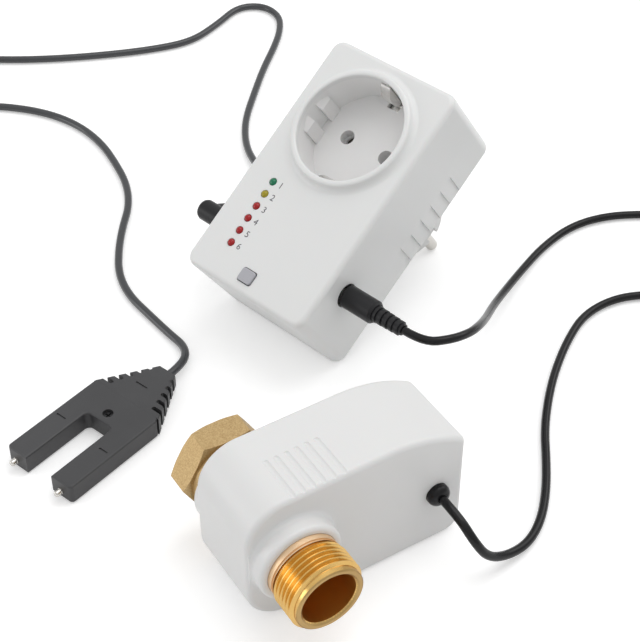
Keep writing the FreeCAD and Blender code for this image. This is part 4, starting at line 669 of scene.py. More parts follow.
def extrude(rise: float, wide: float = 1.0, long: float = 1.0) -> None:
    """Extrudes the selected faces along z and resizes the new end."""
    bpy.ops.mesh.extrude_region_move(TRANSFORM_OT_translate={"value": (0.0, 0.0, rise)})
    bpy.ops.transform.resize(value=(wide, long, 1.0))


def shade(angle: float) -> None:
    """Shades the active piece smooth over edges flatter than an angle in degrees."""
    bpy.ops.object.shade_smooth_by_angle(angle=math.radians(angle))


def close_solid(angle: float) -> None:
    """Ends the editing of a solid: all its faces look out, and it is shaded smooth up to an angle."""
    bpy.ops.mesh.select_all(action="SELECT")
    bpy.ops.mesh.normals_make_consistent(inside=False)
    end_edit()
    shade(angle)


def lathe(steps: Sequence[Step], corners: int = 48) -> Piece:
    """Turns a solid about z: a round plate is extruded ring by ring and drawn in or out.

    Args:
        steps: Radius and height of each ring, from one end to the other.
        corners: Corners of a ring.

    Returns:
        The closed solid.
    """
    deselect()
    radius, height = steps[0]
    bpy.ops.mesh.primitive_circle_add(vertices=corners, radius=radius, fill_type="NGON")
    piece = bpy.context.object
    edit_all(piece)
    bpy.ops.transform.translate(value=(0.0, 0.0, height))
    for wide, high in steps[1:]:
        extrude(high - height, wide / radius, wide / radius)
        radius, height = wide, high
    close_solid(SMOOTH_ANGLE)
    return piece


def block(size: Point, centre: Point) -> Piece:
    """Adds a box of a size at a place and makes that its mesh."""
    deselect()
    bpy.ops.mesh.primitive_cube_add(size=1.0, location=centre)
    piece = bpy.context.object
    piece.scale = size
    bpy.ops.object.transform_apply(location=True, rotation=True, scale=True)
    return piece


def pick(piece: Piece, kind: str, test: Callable[..., bool]) -> None:
    """Opens a piece for editing with some of its corners, edges or faces selected.

    Args:
        piece: The piece.
        kind: VERT, EDGE or FACE.
        test: Says what is wanted: of a corner's place, an edge's two ends, or a face's centre and normal.
    """
    only(piece)
    mesh = piece.data
    bpy.context.tool_settings.mesh_select_mode = (kind == "VERT", kind == "EDGE", kind == "FACE")
    for item in (*mesh.vertices, *mesh.edges, *mesh.polygons):
        item.select = False
    if kind == "VERT":
        for vertex in mesh.vertices:
            vertex.select = test(vertex.co)
    elif kind == "EDGE":
        for edge in mesh.edges:
            edge.select = test(*(mesh.vertices[i].co for i in edge.vertices))
    else:
        for face in mesh.polygons:
            face.select = test(face.center, face.normal)
    bpy.ops.object.mode_set(mode="EDIT")


def cut_away(piece: Piece, kind: str, test: Callable[..., bool]) -> None:
    """Deletes the corners or faces that pass a test, with the same arguments as pick."""
    pick(piece, kind, test)
    bpy.ops.mesh.delete(type=kind)
    end_edit()


def round_edges(piece: Piece, test: Callable[..., bool], width: float, segments: int) -> None:
    """Bevels the edges whose two ends pass a test.

    Args:
        piece: The piece.
        test: Says of an edge's two ends whether it is wanted.
        width: Width of the rounding.
        segments: Its number of faces.
    """
    pick(piece, "EDGE", test)
    bpy.ops.mesh.bevel(offset=width, segments=segments, affect="EDGES")
    end_edit()


def weld(piece: Piece, distance: float) -> None:
    """Merges the corners of a piece that lie closer together than a distance."""
    edit_all(piece)
    bpy.ops.mesh.remove_doubles(threshold=distance)
    end_edit()


def even_shading(piece: Piece) -> None:
    """Lets large flat faces keep their shading right up to a rounded edge."""
    only(piece)
    weights = piece.modifiers.new("weights", "WEIGHTED_NORMAL")
    weights.keep_sharp = True
    bpy.ops.object.modifier_apply(modifier=weights.name)


def smooth_copy(
    node: str, name: str, finish: Finish, body: Body = Body.HOUSINGS, angle: float = SMOOTH_ANGLE,
    reshape: Optional[Callable[[Vector], Vector]] = None,
) -> Piece:
    """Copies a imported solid, merges its loose triangles and shades it smooth up to an angle.

    Args:
        node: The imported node.
        name: The new piece's name.
        finish: What it looks like.
        body: The body it rides on.
        angle: Edges flatter than this are shaded smooth, in degrees.
        reshape: Gives each point its new place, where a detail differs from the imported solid.

    Returns:
        The new piece, which stands for the node.
    """
    piece = put_in(name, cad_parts[node].data.copy())
    weld(piece, LOOSE)
    if piece.data.has_custom_normals:
        bpy.ops.mesh.customdata_custom_splitnormals_clear()
    if reshape is not None:
        for vertex in piece.data.vertices:
            vertex.co = reshape(vertex.co)
    shade(angle)
    even_shading(piece)
    return finish_piece(piece, name, finish, node=node, body=body)


def second_finish(piece: Piece, finish: Finish, test: Callable[[Vector], bool]) -> None:
    """Gives some faces of a piece another finish.

    Args:
        piece: The piece.
        finish: The other finish.
        test: Says of a face's centre, in metres, whether it gets that finish.
    """
    piece.data.materials.append(finish.material())
    index = len(piece.data.materials) - 1
    for face in piece.data.polygons:
        if test(face.center):
            face.material_index = index


def dress(finish: Finish, *nodes: str) -> None:
    """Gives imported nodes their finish."""
    for node in nodes:
        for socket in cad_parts[node].material_slots:
            socket.material = finish.material()


# Cords


@dataclass
class Coil:
    """A put-away coil: it spirals in and out in layers, and climbs a layer while it reverses.

    Args:
        centre: The coil's centre on the floor, in millimetres.
        start: Direction of its first point, in degrees.
        turns: Number of turns.
        layers: Number of layers.
        side: 1 for counterclockwise, -1 for clockwise.
        radius: Radius of the outermost turn.
        pitch: Distance between turns.
        layer: Height of a layer.
    """

    centre: Vector
    start: float
    turns: float
    layers: int
    side: int
    radius: float = 25.0
    pitch: float = 3.9
    layer: float = 3.85

    def point(self, t: float) -> Vector:
        """Gives the coil's point after an angle.

        Args:
            t: The angle that has been wound, in radians.

        Returns:
            The point, in millimetres.
        """
        span = 2 * math.pi * self.turns / self.layers
        rate = self.pitch / (2 * math.pi)
        number = min(int(t / span), self.layers - 1)
        along = t - number * span
        quarter = math.pi / 2
        depth = along if number % 2 == 0 else span - along
        climb = number * self.layer
        nearest = round(t / span)
        away = t - nearest * span
        if 0 < nearest < self.layers and abs(away) < quarter:
            blend = (away**2 + quarter**2) / (2 * quarter)
            depth = span - blend if nearest % 2 == 1 else blend
            share = (away + quarter) / (2 * quarter)
            climb = (nearest - 1 + share * share * (3 - 2 * share)) * self.layer
        radius = self.radius - rate * depth
        angle = math.radians(self.start) + self.side * t
        height = Cord.diameter / 2 + climb
        return self.centre + Vector((radius * math.cos(angle), radius * math.sin(angle), height))

    def points(self) -> list[Vector]:
        """Lists sixteen points for each turn."""
        count = round(self.turns * 16)
        grow = 1.0 / math.cos(math.pi / 16) ** 0.5
        listed = []
        for i in range(count + 1):
            spot = self.point(2 * math.pi * self.turns * i / count)
            flat = Vector((spot.x - self.centre.x, spot.y - self.centre.y, 0.0)) * (grow - 1.0)
            listed.append(spot + flat)
        return listed

    def ends(self) -> tuple[Vector, Vector, Vector, Vector]:
        """Gives where the coil's straight ends begin and which way they run.

        Returns:
            First point and direction, last point and direction.
        """
        total = 2 * math.pi * self.turns
        step = 1e-4
        lead = (self.point(step) - self.point(0.0)).normalized()
        leave = (self.point(total) - self.point(total - step)).normalized()
        return self.point(0.0) - lead * Cord.diameter, lead, self.point(total) + leave * Cord.diameter, leave


@dataclass
class Cord:
    """A free cord with a smooth line along its route: from its plug to the put-away coil and on to its unit.

    Args:
        unit: The unit at its far end, which also names the cord.
        finish: Its sheath.
        slot: The record's slot; not used.
        plug: Where it leaves its plug, in millimetres, and which way.
        first: Points from the plug to the coil; those without a height lie on the floor.
        coil: The put-away coil.
        last: Points from the coil to the unit.
        end: Where it meets the unit, and which way it leaves the unit.
        reach: Straight lengths before and after the coil.
        length: The real length; not used.
        with_pieces: The pieces on it; not used.
    """

    unit: str
    finish: Finish
    slot: Slot
    plug: tuple[Vector, Vector]
    first: Sequence[Sequence[float]]
    coil: Coil
    last: Sequence[Sequence[float]]
    end: tuple[Vector, Vector]
    reach: tuple[float, float]
    length: float
    with_pieces: list[Piece]

    diameter = 3.2
    straight = 9.4  # the cord leaves its plug and its unit straight over this length

    def route(self) -> list[Vector]:
        """Lists the points of the whole route, in millimetres."""
        first, last = (
            [Vector((*spot, self.diameter / 2)[:3]) for spot in points] for points in (self.first, self.last)
        )
        (plug, plug_way), (unit, unit_way) = self.plug, self.end
        start, lead, end, leave = self.coil.ends()
        return [
            plug, plug + plug_way * self.straight, *first, start - lead * self.reach[0], start,
            *self.coil.points(),
            end, end + leave * self.reach[1], *last, unit + unit_way * self.straight, unit,
        ]

    def build(self) -> None:
        """Builds the cord as one open spline with a round section."""
        name = f"{self.unit}_cord"
        route = self.route()
        curve = bpy.data.curves.new(name, "CURVE")
        curve.dimensions = "3D"
        curve.resolution_u = 6
        curve.bevel_depth = self.diameter * MM / 2
        curve.bevel_resolution = 5
        curve.use_fill_caps = True
        line = curve.splines.new("NURBS")
        line.points.add(len(route) - 1)
        for spot, target in zip(line.points, route):
            spot.co = (*(target * MM), 1.0)
        line.order_u = 3
        line.use_endpoint_u = True
        piece = put_in(name, curve)
        curve.materials.append(self.finish.material())
        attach(piece, Body.HOUSINGS.value)
        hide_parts(f"{name}_plug_end", f"{name}_coil", f"{name}_{self.unit}_end")
        log.info("%s: %d route points", name, len(route))


def cords(plugs: dict[str, list[Piece]]) -> None:
    """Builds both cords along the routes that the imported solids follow.

    Args:
        plugs: The pieces on each cord, by the name of its unit.
    """
    jack_y, jack_z = 80.6, 13.8
    half_width, plug_body, plug_sleeve = 29.5, 14.6, 12.7
    elbow_x, neck_length = -41.1, 19.0  # of the right-angle plug
    taper_end, taper_middle = 64.0, 4.0  # the sensor's far end, and its height there
    tilt = math.radians(30.0)
    neck = Vector((0.0, -math.sin(tilt), math.cos(tilt)))
    out = Vector((0.0, -1.0, 0.0))
    Cord(
        "sensor", SENSOR_CORD, Slot.GREY_CORD,
        plug=(
            CONTROLLER.matrix @ (Vector((elbow_x, jack_y, jack_z)) + neck * neck_length) / MM,
            CONTROLLER.along * neck.y + CONTROLLER.up * neck.z,
        ),
        first=(
            (94, 151.5, 15.6), (103, 163, 10.8), (107, 178, 6.6), (108.5, 194, 3.2), (113, 210), (122, 226),
            (136, 242), (150, 257.5), (163.5, 270.5), (173.5, 281.5), (180.5, 293.5), (178.5, 306),
            (167, 311.5), (151, 303), (133, 296), (113, 300), (91, 308), (69, 318), (50, 329),
        ),
        coil=Coil(Vector((-1.0, 337.0, 0.0)), start=50.0, turns=11.56, layers=4, side=1),
        last=(
            (24, 301), (39, 290), (51, 276), (58, 260), (60, 243), (58.5, 227), (56, 212), (50, 198),
            (41, 186.4), (33, 174), (26.5, 161), (24, 147), (25.5, 132.5), (27, 119), (28.2, 108.2, 2.6),
        ),
        end=(SENSOR.point(taper_end, 0.0, taper_middle) / MM, SENSOR.across),
        reach=(20.0, 15.0),
        length=2068.0,
        with_pieces=plugs["sensor"],
    ).build()
    Cord(
        "valve", VALVE_CORD, Slot.BLACK_CORD,
        plug=(
            CONTROLLER.point(half_width + plug_body + plug_sleeve, jack_y, jack_z) / MM,
            CONTROLLER.across,
        ),
        first=(
            (93.9, 30.9, 34.8), (103.5, 32.3, 32.3), (112.6, 38.2, 27.3), (122, 46.5, 20), (133, 56.5, 13),
            (146, 66, 7.4), (162, 76, 3.2), (180, 85), (198, 89.5), (214, 87.5), (229, 80),
        ),
        coil=Coil(Vector((244.0, 37.0, 0.0)), start=52.0, turns=6.49, layers=2, side=-1),
        last=(
            (199, 39), (185, 45), (169, 44), (155, 36.5), (140, 25.5), (128, 14.5), (117, 2.5),
            (108.5, -9.5), (99.5, -21), (90, -30.5), (80, -36.5, 1.7), (69.5, -38.3, 3.7), (61, -38.5, 8.6),
            (56.6, -36.3, 16.9),
        ),
        end=(Vector(RubberGrommet.place) + out * RubberGrommet.dome, out),
        reach=(14.0, 14.0),
        length=1217.0,
        with_pieces=plugs["valve"],
    ).build()


# Units


def jack_plugs() -> dict[str, list[Piece]]:
    """Builds the right-angle and the straight jack plug, each a moulded body on a metal sleeve.

    Returns:
        The pieces on each cord, by the name of its unit.
    """
    return {
        side: [
            smooth_copy(f"{side}_plug", f"{side}_jack_plug", PLUG_BLACK),
            smooth_copy(f"{side}_plug_contact", f"{side}_jack_sleeve", NICKEL),
        ]
        for side in ("sensor", "valve")
    }


@dataclass
class LampRow:
    """Six round lamps in a row, with a plain number beside each.

    Args:
        x: Place of the row across the face, in millimetres.
        first: Place of the first lamp along the face.
        pitch: Distance between lamps.
        radius: Radius of a lamp.
        flange: Radius of the flange behind the face.
        proud: How far the dome stands out of the face.
        seat: Depth of the board behind the face.
        numeral: Height of the printed numbers.
        beside: From a lamp's middle to its number's middle.
        ink: Half the thickness of the print.
        colours: Node, finish, slot and places of the lamps of each colour.
    """

    x: float = -16.0
    first: float = 60.2
    pitch: float = 5.46
    radius: float = 1.57
    flange: float = 1.9
    proud: float = 0.9
    seat: float = 7.6
    numeral: float = 2.5
    beside: float = 4.0
    ink: float = 0.02
    colours: tuple[tuple[str, LensFinish, Slot, tuple[int, ...]], ...] = (
        ("led_green", GREEN_LENS, Slot.GREEN_LENS, (0,)),
        ("led_yellow", YELLOW_LENS, Slot.YELLOW_LENS, (1,)),
        ("led_red", RED_LENS, Slot.RED_LENS, (2, 3, 4, 5)),
    )

    def build(self) -> None:
        """Models one lamp, copies it to its places by colour, and prints the numbers."""
        lamp = lathe([
            (self.flange, -self.seat), (self.flange, 1.0 - self.seat), (self.radius, 1.0 - self.seat),
            (self.radius, self.proud - self.radius - 0.4),
            *quarter_round(self.radius, self.radius, self.proud, 9),
        ], corners=40)
        for node, finish, slot, places in self.colours:
            lamps = [
                stand(twin(lamp), (self.x, self.first + index * self.pitch, 0.0), (0.0, 0.0, -1.0))
                for index in places
            ]
            finish_piece(join(lamps), f"{node}_lens", finish, CONTROLLER, node)
        bpy.data.objects.remove(lamp, do_unlink=True)
        self.numbers()

    def numbers(self) -> None:
        """Prints a plain number beside each lamp."""
        capitals = 0.7  # a capital's share of the type size
        pieces = []
        for i in range(sum(len(places) for *_, places in self.colours)):
            deselect()
            bpy.ops.object.text_add()
            text = bpy.context.object
            text.data.body = str(i + 1)
            text.data.size = self.numeral / capitals
            text.data.align_x = "CENTER"
            text.data.align_y = "CENTER"
            text.data.extrude = self.ink
            text.data.resolution_u = 4
            only(text)
            bpy.ops.object.convert(target="MESH")
            text = bpy.context.object
            place = Vector((self.x + self.beside, self.first + i * self.pitch, -0.6 * self.ink))
            text.data.transform(Matrix.Translation(place) @ Matrix.Rotation(math.pi, 4, "X"))
            pieces.append(text)
        finish_piece(join(pieces), "lamp_numbers", INK, CONTROLLER)


@dataclass
class TestButton:
    """The grey button cap with its collar behind the window.

    Args:
        x: Place across the face, in millimetres.
        y: Place along the face.
        width: Size across.
        height: Size along.
        proud: How far it stands out of the face.
        collar_start: Depth at which the collar begins.
        collar_end: Depth at which it ends.
        collar: How far the collar reaches out.
        corner: Radius of the upright corners.
        rim: Rounding of the top's rim.
        dish: Width of the slope round the shallow dish.
        dish_depth: Depth of the dish.
    """

    x: float = -1.5
    y: float = 95.2
    width: float = 6.2
    height: float = 5.2
    proud: float = 0.9
    collar_start: float = 2.4
    collar_end: float = 3.2
    collar: float = 1.0
    corner: float = 1.1
    rim: float = 0.35
    dish: float = 0.3
    dish_depth: float = 0.08

    def build(self) -> None:
        """Shapes the cap from a box: round corners, a collar, a soft rim and a shallow dish."""
        depth = self.collar_start + self.proud
        middle = (self.collar_start - self.proud) / 2
        cap = block((self.width, self.height, depth), (self.x, self.y, middle))
        round_edges(cap, lambda a, b: abs(a.z - b.z) > 1.0, self.corner, 5)
        pick(cap, "FACE", lambda centre, normal: normal.z > FACING)
        extrude(0.0, 1.0 + 2 * self.collar / self.width, 1.0 + 2 * self.collar / self.height)
        extrude(self.collar_end - self.collar_start)
        end_edit()
        top = -self.proud + 0.01
        round_edges(cap, lambda a, b: a.z < top and b.z < top, self.rim, 4)
        pick(cap, "FACE", lambda centre, normal: normal.z < -FACING and centre.z < top)
        bpy.ops.mesh.inset(thickness=self.dish, depth=0.0)
        bpy.ops.transform.translate(value=(0.0, 0.0, self.dish_depth))
        close_solid(40.0)
        even_shading(cap)
        finish_piece(cap, "test_button", GREY_BUTTON, CONTROLLER, "button_cap", Body.BUTTON)


@dataclass
class PlugPins:
    """The two round plug pins at the back.

    Args:
        y: Place along the housing, in millimetres.
        pitch: Distance between the pins.
        radius: Radius of a pin.
        root: Radius inside the plug's face.
        flange: Radius of the flange behind the face.
        inner_end: Depth at which the root begins.
        flange_start: Depth at which the flange begins.
        flange_end: Depth at which it ends.
        face: Depth of the plug's face.
        tip: Depth of the pin's tip.
    """

    y: float = 37.5
    pitch: float = 19.0
    radius: float = 2.4
    root: float = 2.7
    flange: float = 4.0
    inner_end: float = 55.6
    flange_start: float = 60.0
    flange_end: float = 61.6
    face: float = 64.0
    tip: float = 83.0

    def build(self) -> None:
        """Turns one pin and copies it."""
        pin = lathe([
            (self.root, self.inner_end), (self.root, self.flange_start), (self.flange, self.flange_start),
            (self.flange, self.flange_end), (self.root, self.flange_end), (self.root, self.face - 0.2),
            (self.radius, self.face + 0.1), *quarter_round(self.radius, self.radius - 0.05, self.tip, 8),
        ])
        for side, node in ((-1, "plug_pin_left"), (1, "plug_pin_right")):
            copy = stand(twin(pin), (side * self.pitch / 2, self.y, 0.0), (0.0, 0.0, 1.0))
            finish_piece(copy, f"round_{node}", NICKEL, CONTROLLER, node)
        bpy.data.objects.remove(pin, do_unlink=True)


class PlugInController:
    """The controller's shells, through socket, lamps, button, pins and inside pieces."""

    def build(self) -> None:
        """Builds and dresses the whole controller."""
        for node, name, finish, slot in (
            ("controller_front_shell", "controller_face", CONTROLLER_WHITE, Slot.WHITE),
            ("controller_rear_shell", "controller_back", CONTROLLER_WHITE, Slot.WHITE),
            ("plug_body", "plug_collar", PLUG_WHITE, Slot.WHITE),
            ("socket_insert", "socket_well", SOCKET_WHITE, Slot.WHITE),
            ("socket_floor", "socket_bottom", SOCKET_WHITE, Slot.WHITE),
            ("earth_clip", "earth_clip_strip", SPRING_STEEL, Slot.STEEL),
            ("plug_earth_strips", "earth_strips", SPRING_STEEL, Slot.STEEL),
        ):
            smooth_copy(node, name, finish)
        LampRow().build()
        TestButton().build()
        PlugPins().build()
        self.inside()

    def inside(self) -> None:
        """Dresses the pieces inside."""
        dress(ZINC_SCREW, "controller_screws")
        dress(NICKEL, "socket_contacts")
        dress(BOARD_GREEN, "controller_board")
        dress(RELAY_BLUE, "relay")
        dress(
            PART_BLACK, "transformer", "buzzer", "capacitor", "button_switch", "switch_plunger",
            "jack_socket_left", "jack_socket_right",
        )


@dataclass
class MaleThread:
    """The brass body's outer thread, wound as one ridge.

    Args:
        root: Radius between the ridges, in millimetres.
        crest: Radius on the ridge.
        pitch: Distance between turns.
        first: Where the ridge starts along the pipe.
        last: Where it ends.
        run_out: How far the winding starts past that, in turns.
        fade: Length over which the ridge fades out at each end, in turns.
        turn_steps: Faces of one turn.
    """

    root: float = 12.06
    crest: float = 13.22
    pitch: float = 1.814
    first: float = -26.39
    last: float = -38.3
    run_out: float = 0.2
    fade: float = 0.9
    turn_steps: int = 96

    @property
    def turns(self) -> int:
        """Number of whole turns between the two ends."""
        return int((self.first - self.last) / self.pitch)

    def profile(self) -> Piece:
        """Makes the ridge's outline: one side of a plane, divided and raised at its crest.

        Returns:
            An open line of six points, one pitch long.
        """
        deselect()
        bpy.ops.mesh.primitive_plane_add(size=self.pitch)
        line = bpy.context.object
        cut_away(line, "VERT", lambda spot: spot.x > 0.0)
        edit_all(line)
        bpy.ops.mesh.subdivide(number_cuts=4)
        end_edit()
        root, crest = self.root, self.crest
        outline = ((0.0, root), (0.14, root), (0.46, crest), (0.58, crest), (0.9, root), (1.0, root))
        points = sorted(line.data.vertices, key=lambda vertex: vertex.co.y)
        for vertex, (share, radius) in zip(points, outline):
            vertex.co = (radius, share * self.pitch, 0.0)
        return line

    def build(self) -> Piece:
        """Winds the outline round the pipe and lets the ridge fade out at both ends.

        Returns:
            The thread in millimetres, with its axis on the pipe's.
        """
        line = self.profile()
        only(line)
        winding = line.modifiers.new("winding", "SCREW")
        winding.axis = "Y"
        winding.screw_offset = self.pitch
        winding.iterations = self.turns
        winding.steps = self.turn_steps
        winding.render_steps = self.turn_steps
        winding.use_merge_vertices = False
        bpy.ops.object.modifier_apply(modifier=winding.name)
        length = (self.turns + 1) * self.pitch
        for vertex in line.data.vertices:
            radius = math.hypot(vertex.co.x, vertex.co.z)
            end = min(vertex.co.y, length - vertex.co.y)
            fade = min(max(end / (self.fade * self.pitch), 0.0), 1.0)
            wanted = self.root + (radius - self.root) * fade
            vertex.co.x *= wanted / radius
            vertex.co.z *= wanted / radius
        inner = self.root - 0.03
        sleeve = lathe([(inner, -0.2), (inner, length + 0.1)], self.turn_steps)
        cut_away(sleeve, "FACE", lambda centre, normal: abs(normal.z) > FACING)
        stand(sleeve, (0.0, 0.0, 0.0), (0.0, 1.0, 0.0))
        thread = join([line, sleeve])
        start = self.last - self.run_out * self.pitch
        thread.data.transform(Matrix.Translation(Vector((0.0, start, PIPE_HEIGHT))))
        weld(thread, 0.001)
        pick(
            thread, "FACE",
            lambda centre, normal: normal.x * centre.x + normal.z * (centre.z - PIPE_HEIGHT) < 0.0,
        )
        bpy.ops.mesh.flip_normals()
        end_edit()
        shade(28.0)
        return thread


@dataclass
class RubberGrommet:
    """The domed bush that the valve's cord leaves through.

    Args:
        place: Its place on the front wall, in millimetres.
        radius: Radius of the dome.
        neck: Radius in the wall.
        wall: Thickness of the wall.
        flange: Thickness of the inner flange.
        dome: Height of the dome.
        edge: Radius of its rounding.
        hole: Radius of the cord's hole.
    """

    place: Point = (55.2, -16.5, 22.7)
    radius: float = 4.1
    neck: float = 2.9
    wall: float = 2.0
    flange: float = 1.2
    dome: float = 3.6
    edge: float = 2.3
    hole: float = 1.62

    def build(self) -> None:
        """Turns the bush from its inner flange to the lip round the cord."""
        bush = lathe([
            (self.radius, -self.wall - self.flange), (self.radius, -self.wall), (self.neck, -self.wall),
            (self.neck, -0.02), (self.radius, 0.02), (self.radius, 0.5),
            *[step for step in quarter_round(self.radius, self.edge, self.dome, 8) if step[1] > 0.6],
            (self.hole + 0.1, self.dome), (self.hole, self.dome - 0.4),
        ])
        stand(bush, self.place, (0.0, -1.0, 0.0))
        finish_piece(bush, "rubber_grommet", GROMMET_RUBBER, VALVE, "cable_grommet")


@dataclass
class MotorValve:
    """The valve's shells, brass pieces, gear train and grommet.

    Args:
        thread: The outer thread.
        mouth: Radius of the open mouth, in millimetres.
        tip: Where the pipe's tip is along its axis.
        neck_end: Where the plain neck ends inside the shell.
        bore_end: Where the bore's painted shade ends at the ball's seat.
    """

    thread: MaleThread = field(default_factory=MaleThread)
    mouth: float = 9.75
    tip: float = -39.2
    neck_end: float = 5.0
    bore_end: float = -11.0

    def build(self) -> None:
        """Builds and dresses the whole valve."""
        smooth_copy("valve_upper_shell", "valve_cover", VALVE_WHITE)
        smooth_copy("valve_lower_shell", "valve_base", VALVE_WHITE)
        self.brass()
        RubberGrommet().build()
        smooth_copy("ball", "valve_ball", CHROME_BALL, Body.BALL_DRIVE)
        self.inside()

    def brass(self) -> None:
        """Makes the body with its wound thread, its dull face, a darker brass in the bore as painted shade,
        and the blasted end.
        """
        body = smooth_copy("valve_body", "brass_body", TURNED_BRASS, angle=25.0)
        limit = (self.thread.root + 0.04) * MM
        start = (self.thread.first + 0.3) * MM
        end = (self.tip + 0.6) * MM
        mouth = self.mouth * MM

        def out(point: Vector) -> float:
            """Gives a point's distance from the pipe axis, in metres."""
            return math.hypot(point.x, point.z - PIPE_HEIGHT * MM)

        cut_away(body, "VERT", lambda spot: end < spot.y < start and out(spot) > limit)
        for finish, test in (
            # The bore gets the darker brass: painted shade inside the bore.
            (BORE_BRASS_PAINTED_SHADE, lambda centre: out(centre) < mouth and centre.y < self.bore_end * MM),
            (FACE_BRASS, lambda centre: centre.y < end and out(centre) > mouth),
            (NECK_BRASS, lambda centre: start < centre.y < self.neck_end * MM and out(centre) > mouth),
        ):
            second_finish(body, finish, test)
        finish_piece(self.thread.build(), "male_thread", TURNED_BRASS, VALVE)
        smooth_copy("end_piece", "brass_end", CAST_BRASS, angle=25.0)

    def inside(self) -> None:
        """Dresses the pieces inside."""
        dress(TURNED_BRASS, "stem", "gland_nut", "motor_pinion")
        dress(GROMMET_RUBBER, "stem_seals")
        dress(SEAL_WHITE, "seat_rings")
        dress(SPRING_STEEL, "gear_frame_front", "gear_frame_rear", "idler_axle", "gear_motor")
        dress(ACETAL, "output_gear", "idler_gear")
        dress(BOARD_GREEN, "position_board")
        dress(ZINC_SCREW, "valve_screws")


@dataclass
class WaterSensor:
    """The fork-shaped sensor with its pins and ribbed taper.

    Args:
        length: Length of the shells up to the taper, in millimetres.
        thickness: Height of the sensor.
        edge: Radius of the shells' rounded rim.
        pin_y: Distance of a pin from the middle line.
        pin_z: Height of the pins.
        pin_radius: Radius of a pin.
        pin_out: How far it stands out of its prong.
        pin_in: How far it reaches in.
        tip: Radius of its tip's rounding.
        groove: Where the groove round a pin begins, reaches its floor, leaves it and ends.
        groove_depth: Depth of the groove.
    """

    length: float = 43.0
    thickness: float = 8.0
    edge: float = 0.8
    pin_y: float = 11.2
    pin_z: float = 4.0
    pin_radius: float = 1.2
    pin_out: float = 3.2
    pin_in: float = 9.0
    tip: float = 0.7
    groove: tuple[float, float, float, float] = (0.9, 1.0, 1.25, 1.35)
    groove_depth: float = 0.12

    def build(self) -> None:
        """Builds and dresses the sensor."""
        smooth_copy("sensor_top_shell", "sensor_lid", SENSOR_BLACK, reshape=self.close_seam)
        smooth_copy("sensor_bottom_shell", "sensor_tray", SENSOR_BLACK)
        smooth_copy("sensor_strain_relief", "sensor_taper", SENSOR_BLACK)
        self.pins()
        dress(DARK_SCREW, "sensor_screw")
        dress(BOARD_GREEN, "sensor_board")

    def close_seam(self, point: Vector) -> Vector:
        """Squares the lid's rim where it meets the taper, so that the top runs through without a groove.

        Args:
            point: A point of the lid, in metres.

        Returns:
            Its new place.
        """
        own = SENSOR.matrix.inverted() @ point
        margin = self.edge + 0.02
        if own.x > self.length - margin and own.z > self.thickness - margin:
            own.z = self.thickness
            return SENSOR.matrix @ own
        return point

    def pins(self) -> None:
        """Turns one pin with a turned groove and a rounded tip, and copies it."""
        floor = self.pin_radius - self.groove_depth
        radii = (self.pin_radius, floor, floor, self.pin_radius)
        pin = lathe([
            (self.pin_radius, -self.pin_in), *zip(radii, self.groove),
            *quarter_round(self.pin_radius, self.tip, self.pin_out, 5),
        ], corners=32)
        for side, node in ((1, "probe_pin_left"), (-1, "probe_pin_right")):
            copy = stand(twin(pin), (0.0, side * self.pin_y, self.pin_z), (-1.0, 0.0, 0.0))
            finish_piece(copy, f"metal_{node}", NICKEL, SENSOR, node)
        bpy.data.objects.remove(pin, do_unlink=True)


# Studio


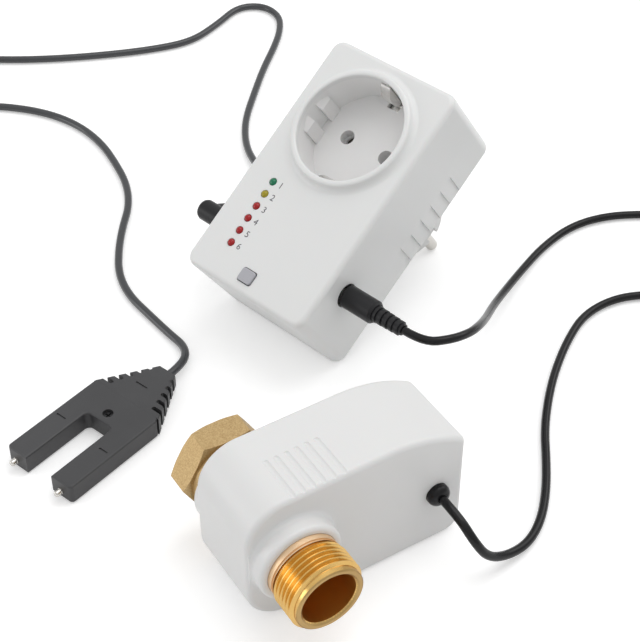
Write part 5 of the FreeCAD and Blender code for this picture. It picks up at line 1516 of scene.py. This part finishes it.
@dataclass
class Studio:
    """The photograph's camera, a white floor and soft light that comes mostly from above.

    Args:
        eye: The camera's place, in metres.
        target: What it looks at.
        lens: Focal length for a 36 mm wide sensor.
        floor_size: The floor's width.
        floor_drop: How far it lies below the pieces, so that no two faces share a place.
        floor_tone: The floor's colour value.
        floor_glow: What the camera sees on top of that near the object, so that the paper is white.
        far_glow: The same far away, where the lamps don't reach.
        floor_mirror: The share of that glow in gloss and in glass.
        near: Where the first one ends, in metres from the middle.
        far: Where the second one begins.
        horizon: Strength of the surroundings at the horizon.
        zenith: Strength of the surroundings overhead.
        white_mirror: The share of the white background in gloss and in glass.
        aim: What the lamps look at.
        lamps: Name, place, size and power of each lamp.
    """

    eye: Point = (-0.1657, -0.2989, 0.4192)
    target: Point = (0.0806, 0.0962, 0.0)
    lens: float = 91.125
    floor_size: float = 12.0
    floor_drop: float = 0.0003
    floor_tone: float = 0.86
    floor_glow: float = 0.31
    far_glow: float = 0.42
    floor_mirror: float = 0.6
    near: float = 0.5
    far: float = 1.6
    horizon: float = 0.42
    zenith: float = 0.95
    white_mirror: float = 0.25
    aim: Point = (0.08, 0.1, 0.03)
    lamps: tuple[tuple[str, Point, float, float], ...] = (
        ("overhead", (0.3, 0.1, 1.1), 0.7, 2.5),
        ("left_fill", (-0.85, 0.6, 0.25), 0.5, 1.5),
        ("right_fill", (0.9, 0.1, 0.7), 0.6, 1.6),
    )

    def build(self) -> None:
        """Sets up the view, the stage and the lights."""
        bpy.context.scene.view_settings.view_transform = "Standard"
        self.camera()
        self.floor()
        self.world()
        self.lights()

    def camera(self) -> None:
        """Places the camera at the photograph's angle."""
        data = bpy.data.cameras.new("camera")
        data.sensor_fit = "HORIZONTAL"
        data.sensor_width = 36.0
        data.lens = self.lens
        data.clip_start = 0.01
        data.clip_end = 20.0
        bpy.context.scene.camera = self.look("camera", data, self.eye, self.target)

    @staticmethod
    def look(name: str, data: bpy.types.ID, spot: Point, aim: Point) -> Piece:
        """Puts a camera or a lamp in its place and turns it to what it looks at.

        Args:
            name: The object's name.
            data: The camera or the lamp.
            spot: Its place, in metres.
            aim: What it looks at.

        Returns:
            The object in the scene.
        """
        holder = put_in(name, data)
        holder.location = spot
        holder.rotation_euler = (Vector(aim) - Vector(spot)).to_track_quat("-Z", "Y").to_euler()
        return holder

    @staticmethod
    def background_share(wires: Wiring, mirrored: float) -> Socket:
        """Says how much of the white background a ray sees: the camera all, a reflection a share.

        Args:
            wires: The tree's wiring.
            mirrored: The share in gloss and in glass.

        Returns:
            A socket from 0 to 1.
        """
        path = wires.add("LightPath")
        either = wires.combine("MAXIMUM", path.outputs["Is Glossy Ray"], path.outputs["Is Transmission Ray"])
        part = wires.combine("MULTIPLY", either, mirrored)
        return wires.combine("MAXIMUM", path.outputs["Is Camera Ray"], part)

    def floor(self) -> None:
        """Lays a wide floor that the camera sees as white paper with soft shadows."""
        deselect()
        bpy.ops.mesh.primitive_plane_add(size=self.floor_size, location=(0.0, 0.0, -self.floor_drop))
        plane = bpy.context.object
        plane.name = "floor"
        made = bpy.data.materials.new("paper_floor")
        made.use_nodes = True
        wires = Wiring(made.node_tree)
        shader = made.node_tree.nodes["Principled BSDF"]
        shader.inputs["Base Color"].default_value = (*[self.floor_tone] * 3, 1.0)
        shader.inputs["Roughness"].default_value = 0.9
        shader.inputs["Emission Color"].default_value = (1.0, 1.0, 1.0, 1.0)
        away = wires.add("VectorMath")
        away.operation = "LENGTH"
        wires.link(wires.add("TexCoord"), "Object", away, 0)
        reach = wires.add(
            "MapRange", From_Min=self.near, From_Max=self.far, To_Min=self.floor_glow, To_Max=self.far_glow
        )
        wires.link(away, "Value", reach, "Value")
        share = self.background_share(wires, self.floor_mirror)
        glow = wires.combine("MULTIPLY", share, reach.outputs["Result"])
        wires.tree.links.new(glow, shader.inputs["Emission Strength"])
        plane.data.materials.append(made)

    def world(self) -> None:
        """Fills the surroundings with soft light, strong overhead and weak at the horizon."""
        world = bpy.data.worlds.new("studio")
        world.use_nodes = True
        bpy.context.scene.world = world
        wires = Wiring(world.node_tree)
        back = world.node_tree.nodes["Background"]
        back.inputs["Color"].default_value = (1.0, 1.0, 1.0, 1.0)
        split = wires.add("SeparateXYZ")
        rise = wires.add("MapRange", To_Min=self.horizon, To_Max=self.zenith)
        choose = wires.add("Mix")
        choose.data_type = "FLOAT"
        choose.inputs[3].default_value = 1.0
        wires.link(wires.add("TexCoord"), "Generated", split, "Vector")
        wires.link(split, "Z", rise, "Value")
        wires.tree.links.new(self.background_share(wires, self.white_mirror), choose.inputs[0])
        wires.link(rise, "Result", choose, 2)
        wires.link(choose, 0, back, "Strength")

    def lights(self) -> None:
        """Hangs a large soft lamp overhead and a smaller one at each side."""
        for name, spot, size, power in self.lamps:
            lamp = bpy.data.lights.new(name, "AREA")
            lamp.shape = "SQUARE"
            lamp.size = size
            lamp.energy = power
            self.look(name, lamp, spot, self.aim)


def main() -> None:
    """Builds the units, the cords and the studio."""
    Studio().build()
    cords(jack_plugs())
    PlugInController().build()
    MotorValve().build()
    WaterSensor().build()
    deselect()


if __name__ == "__main__":
    main()
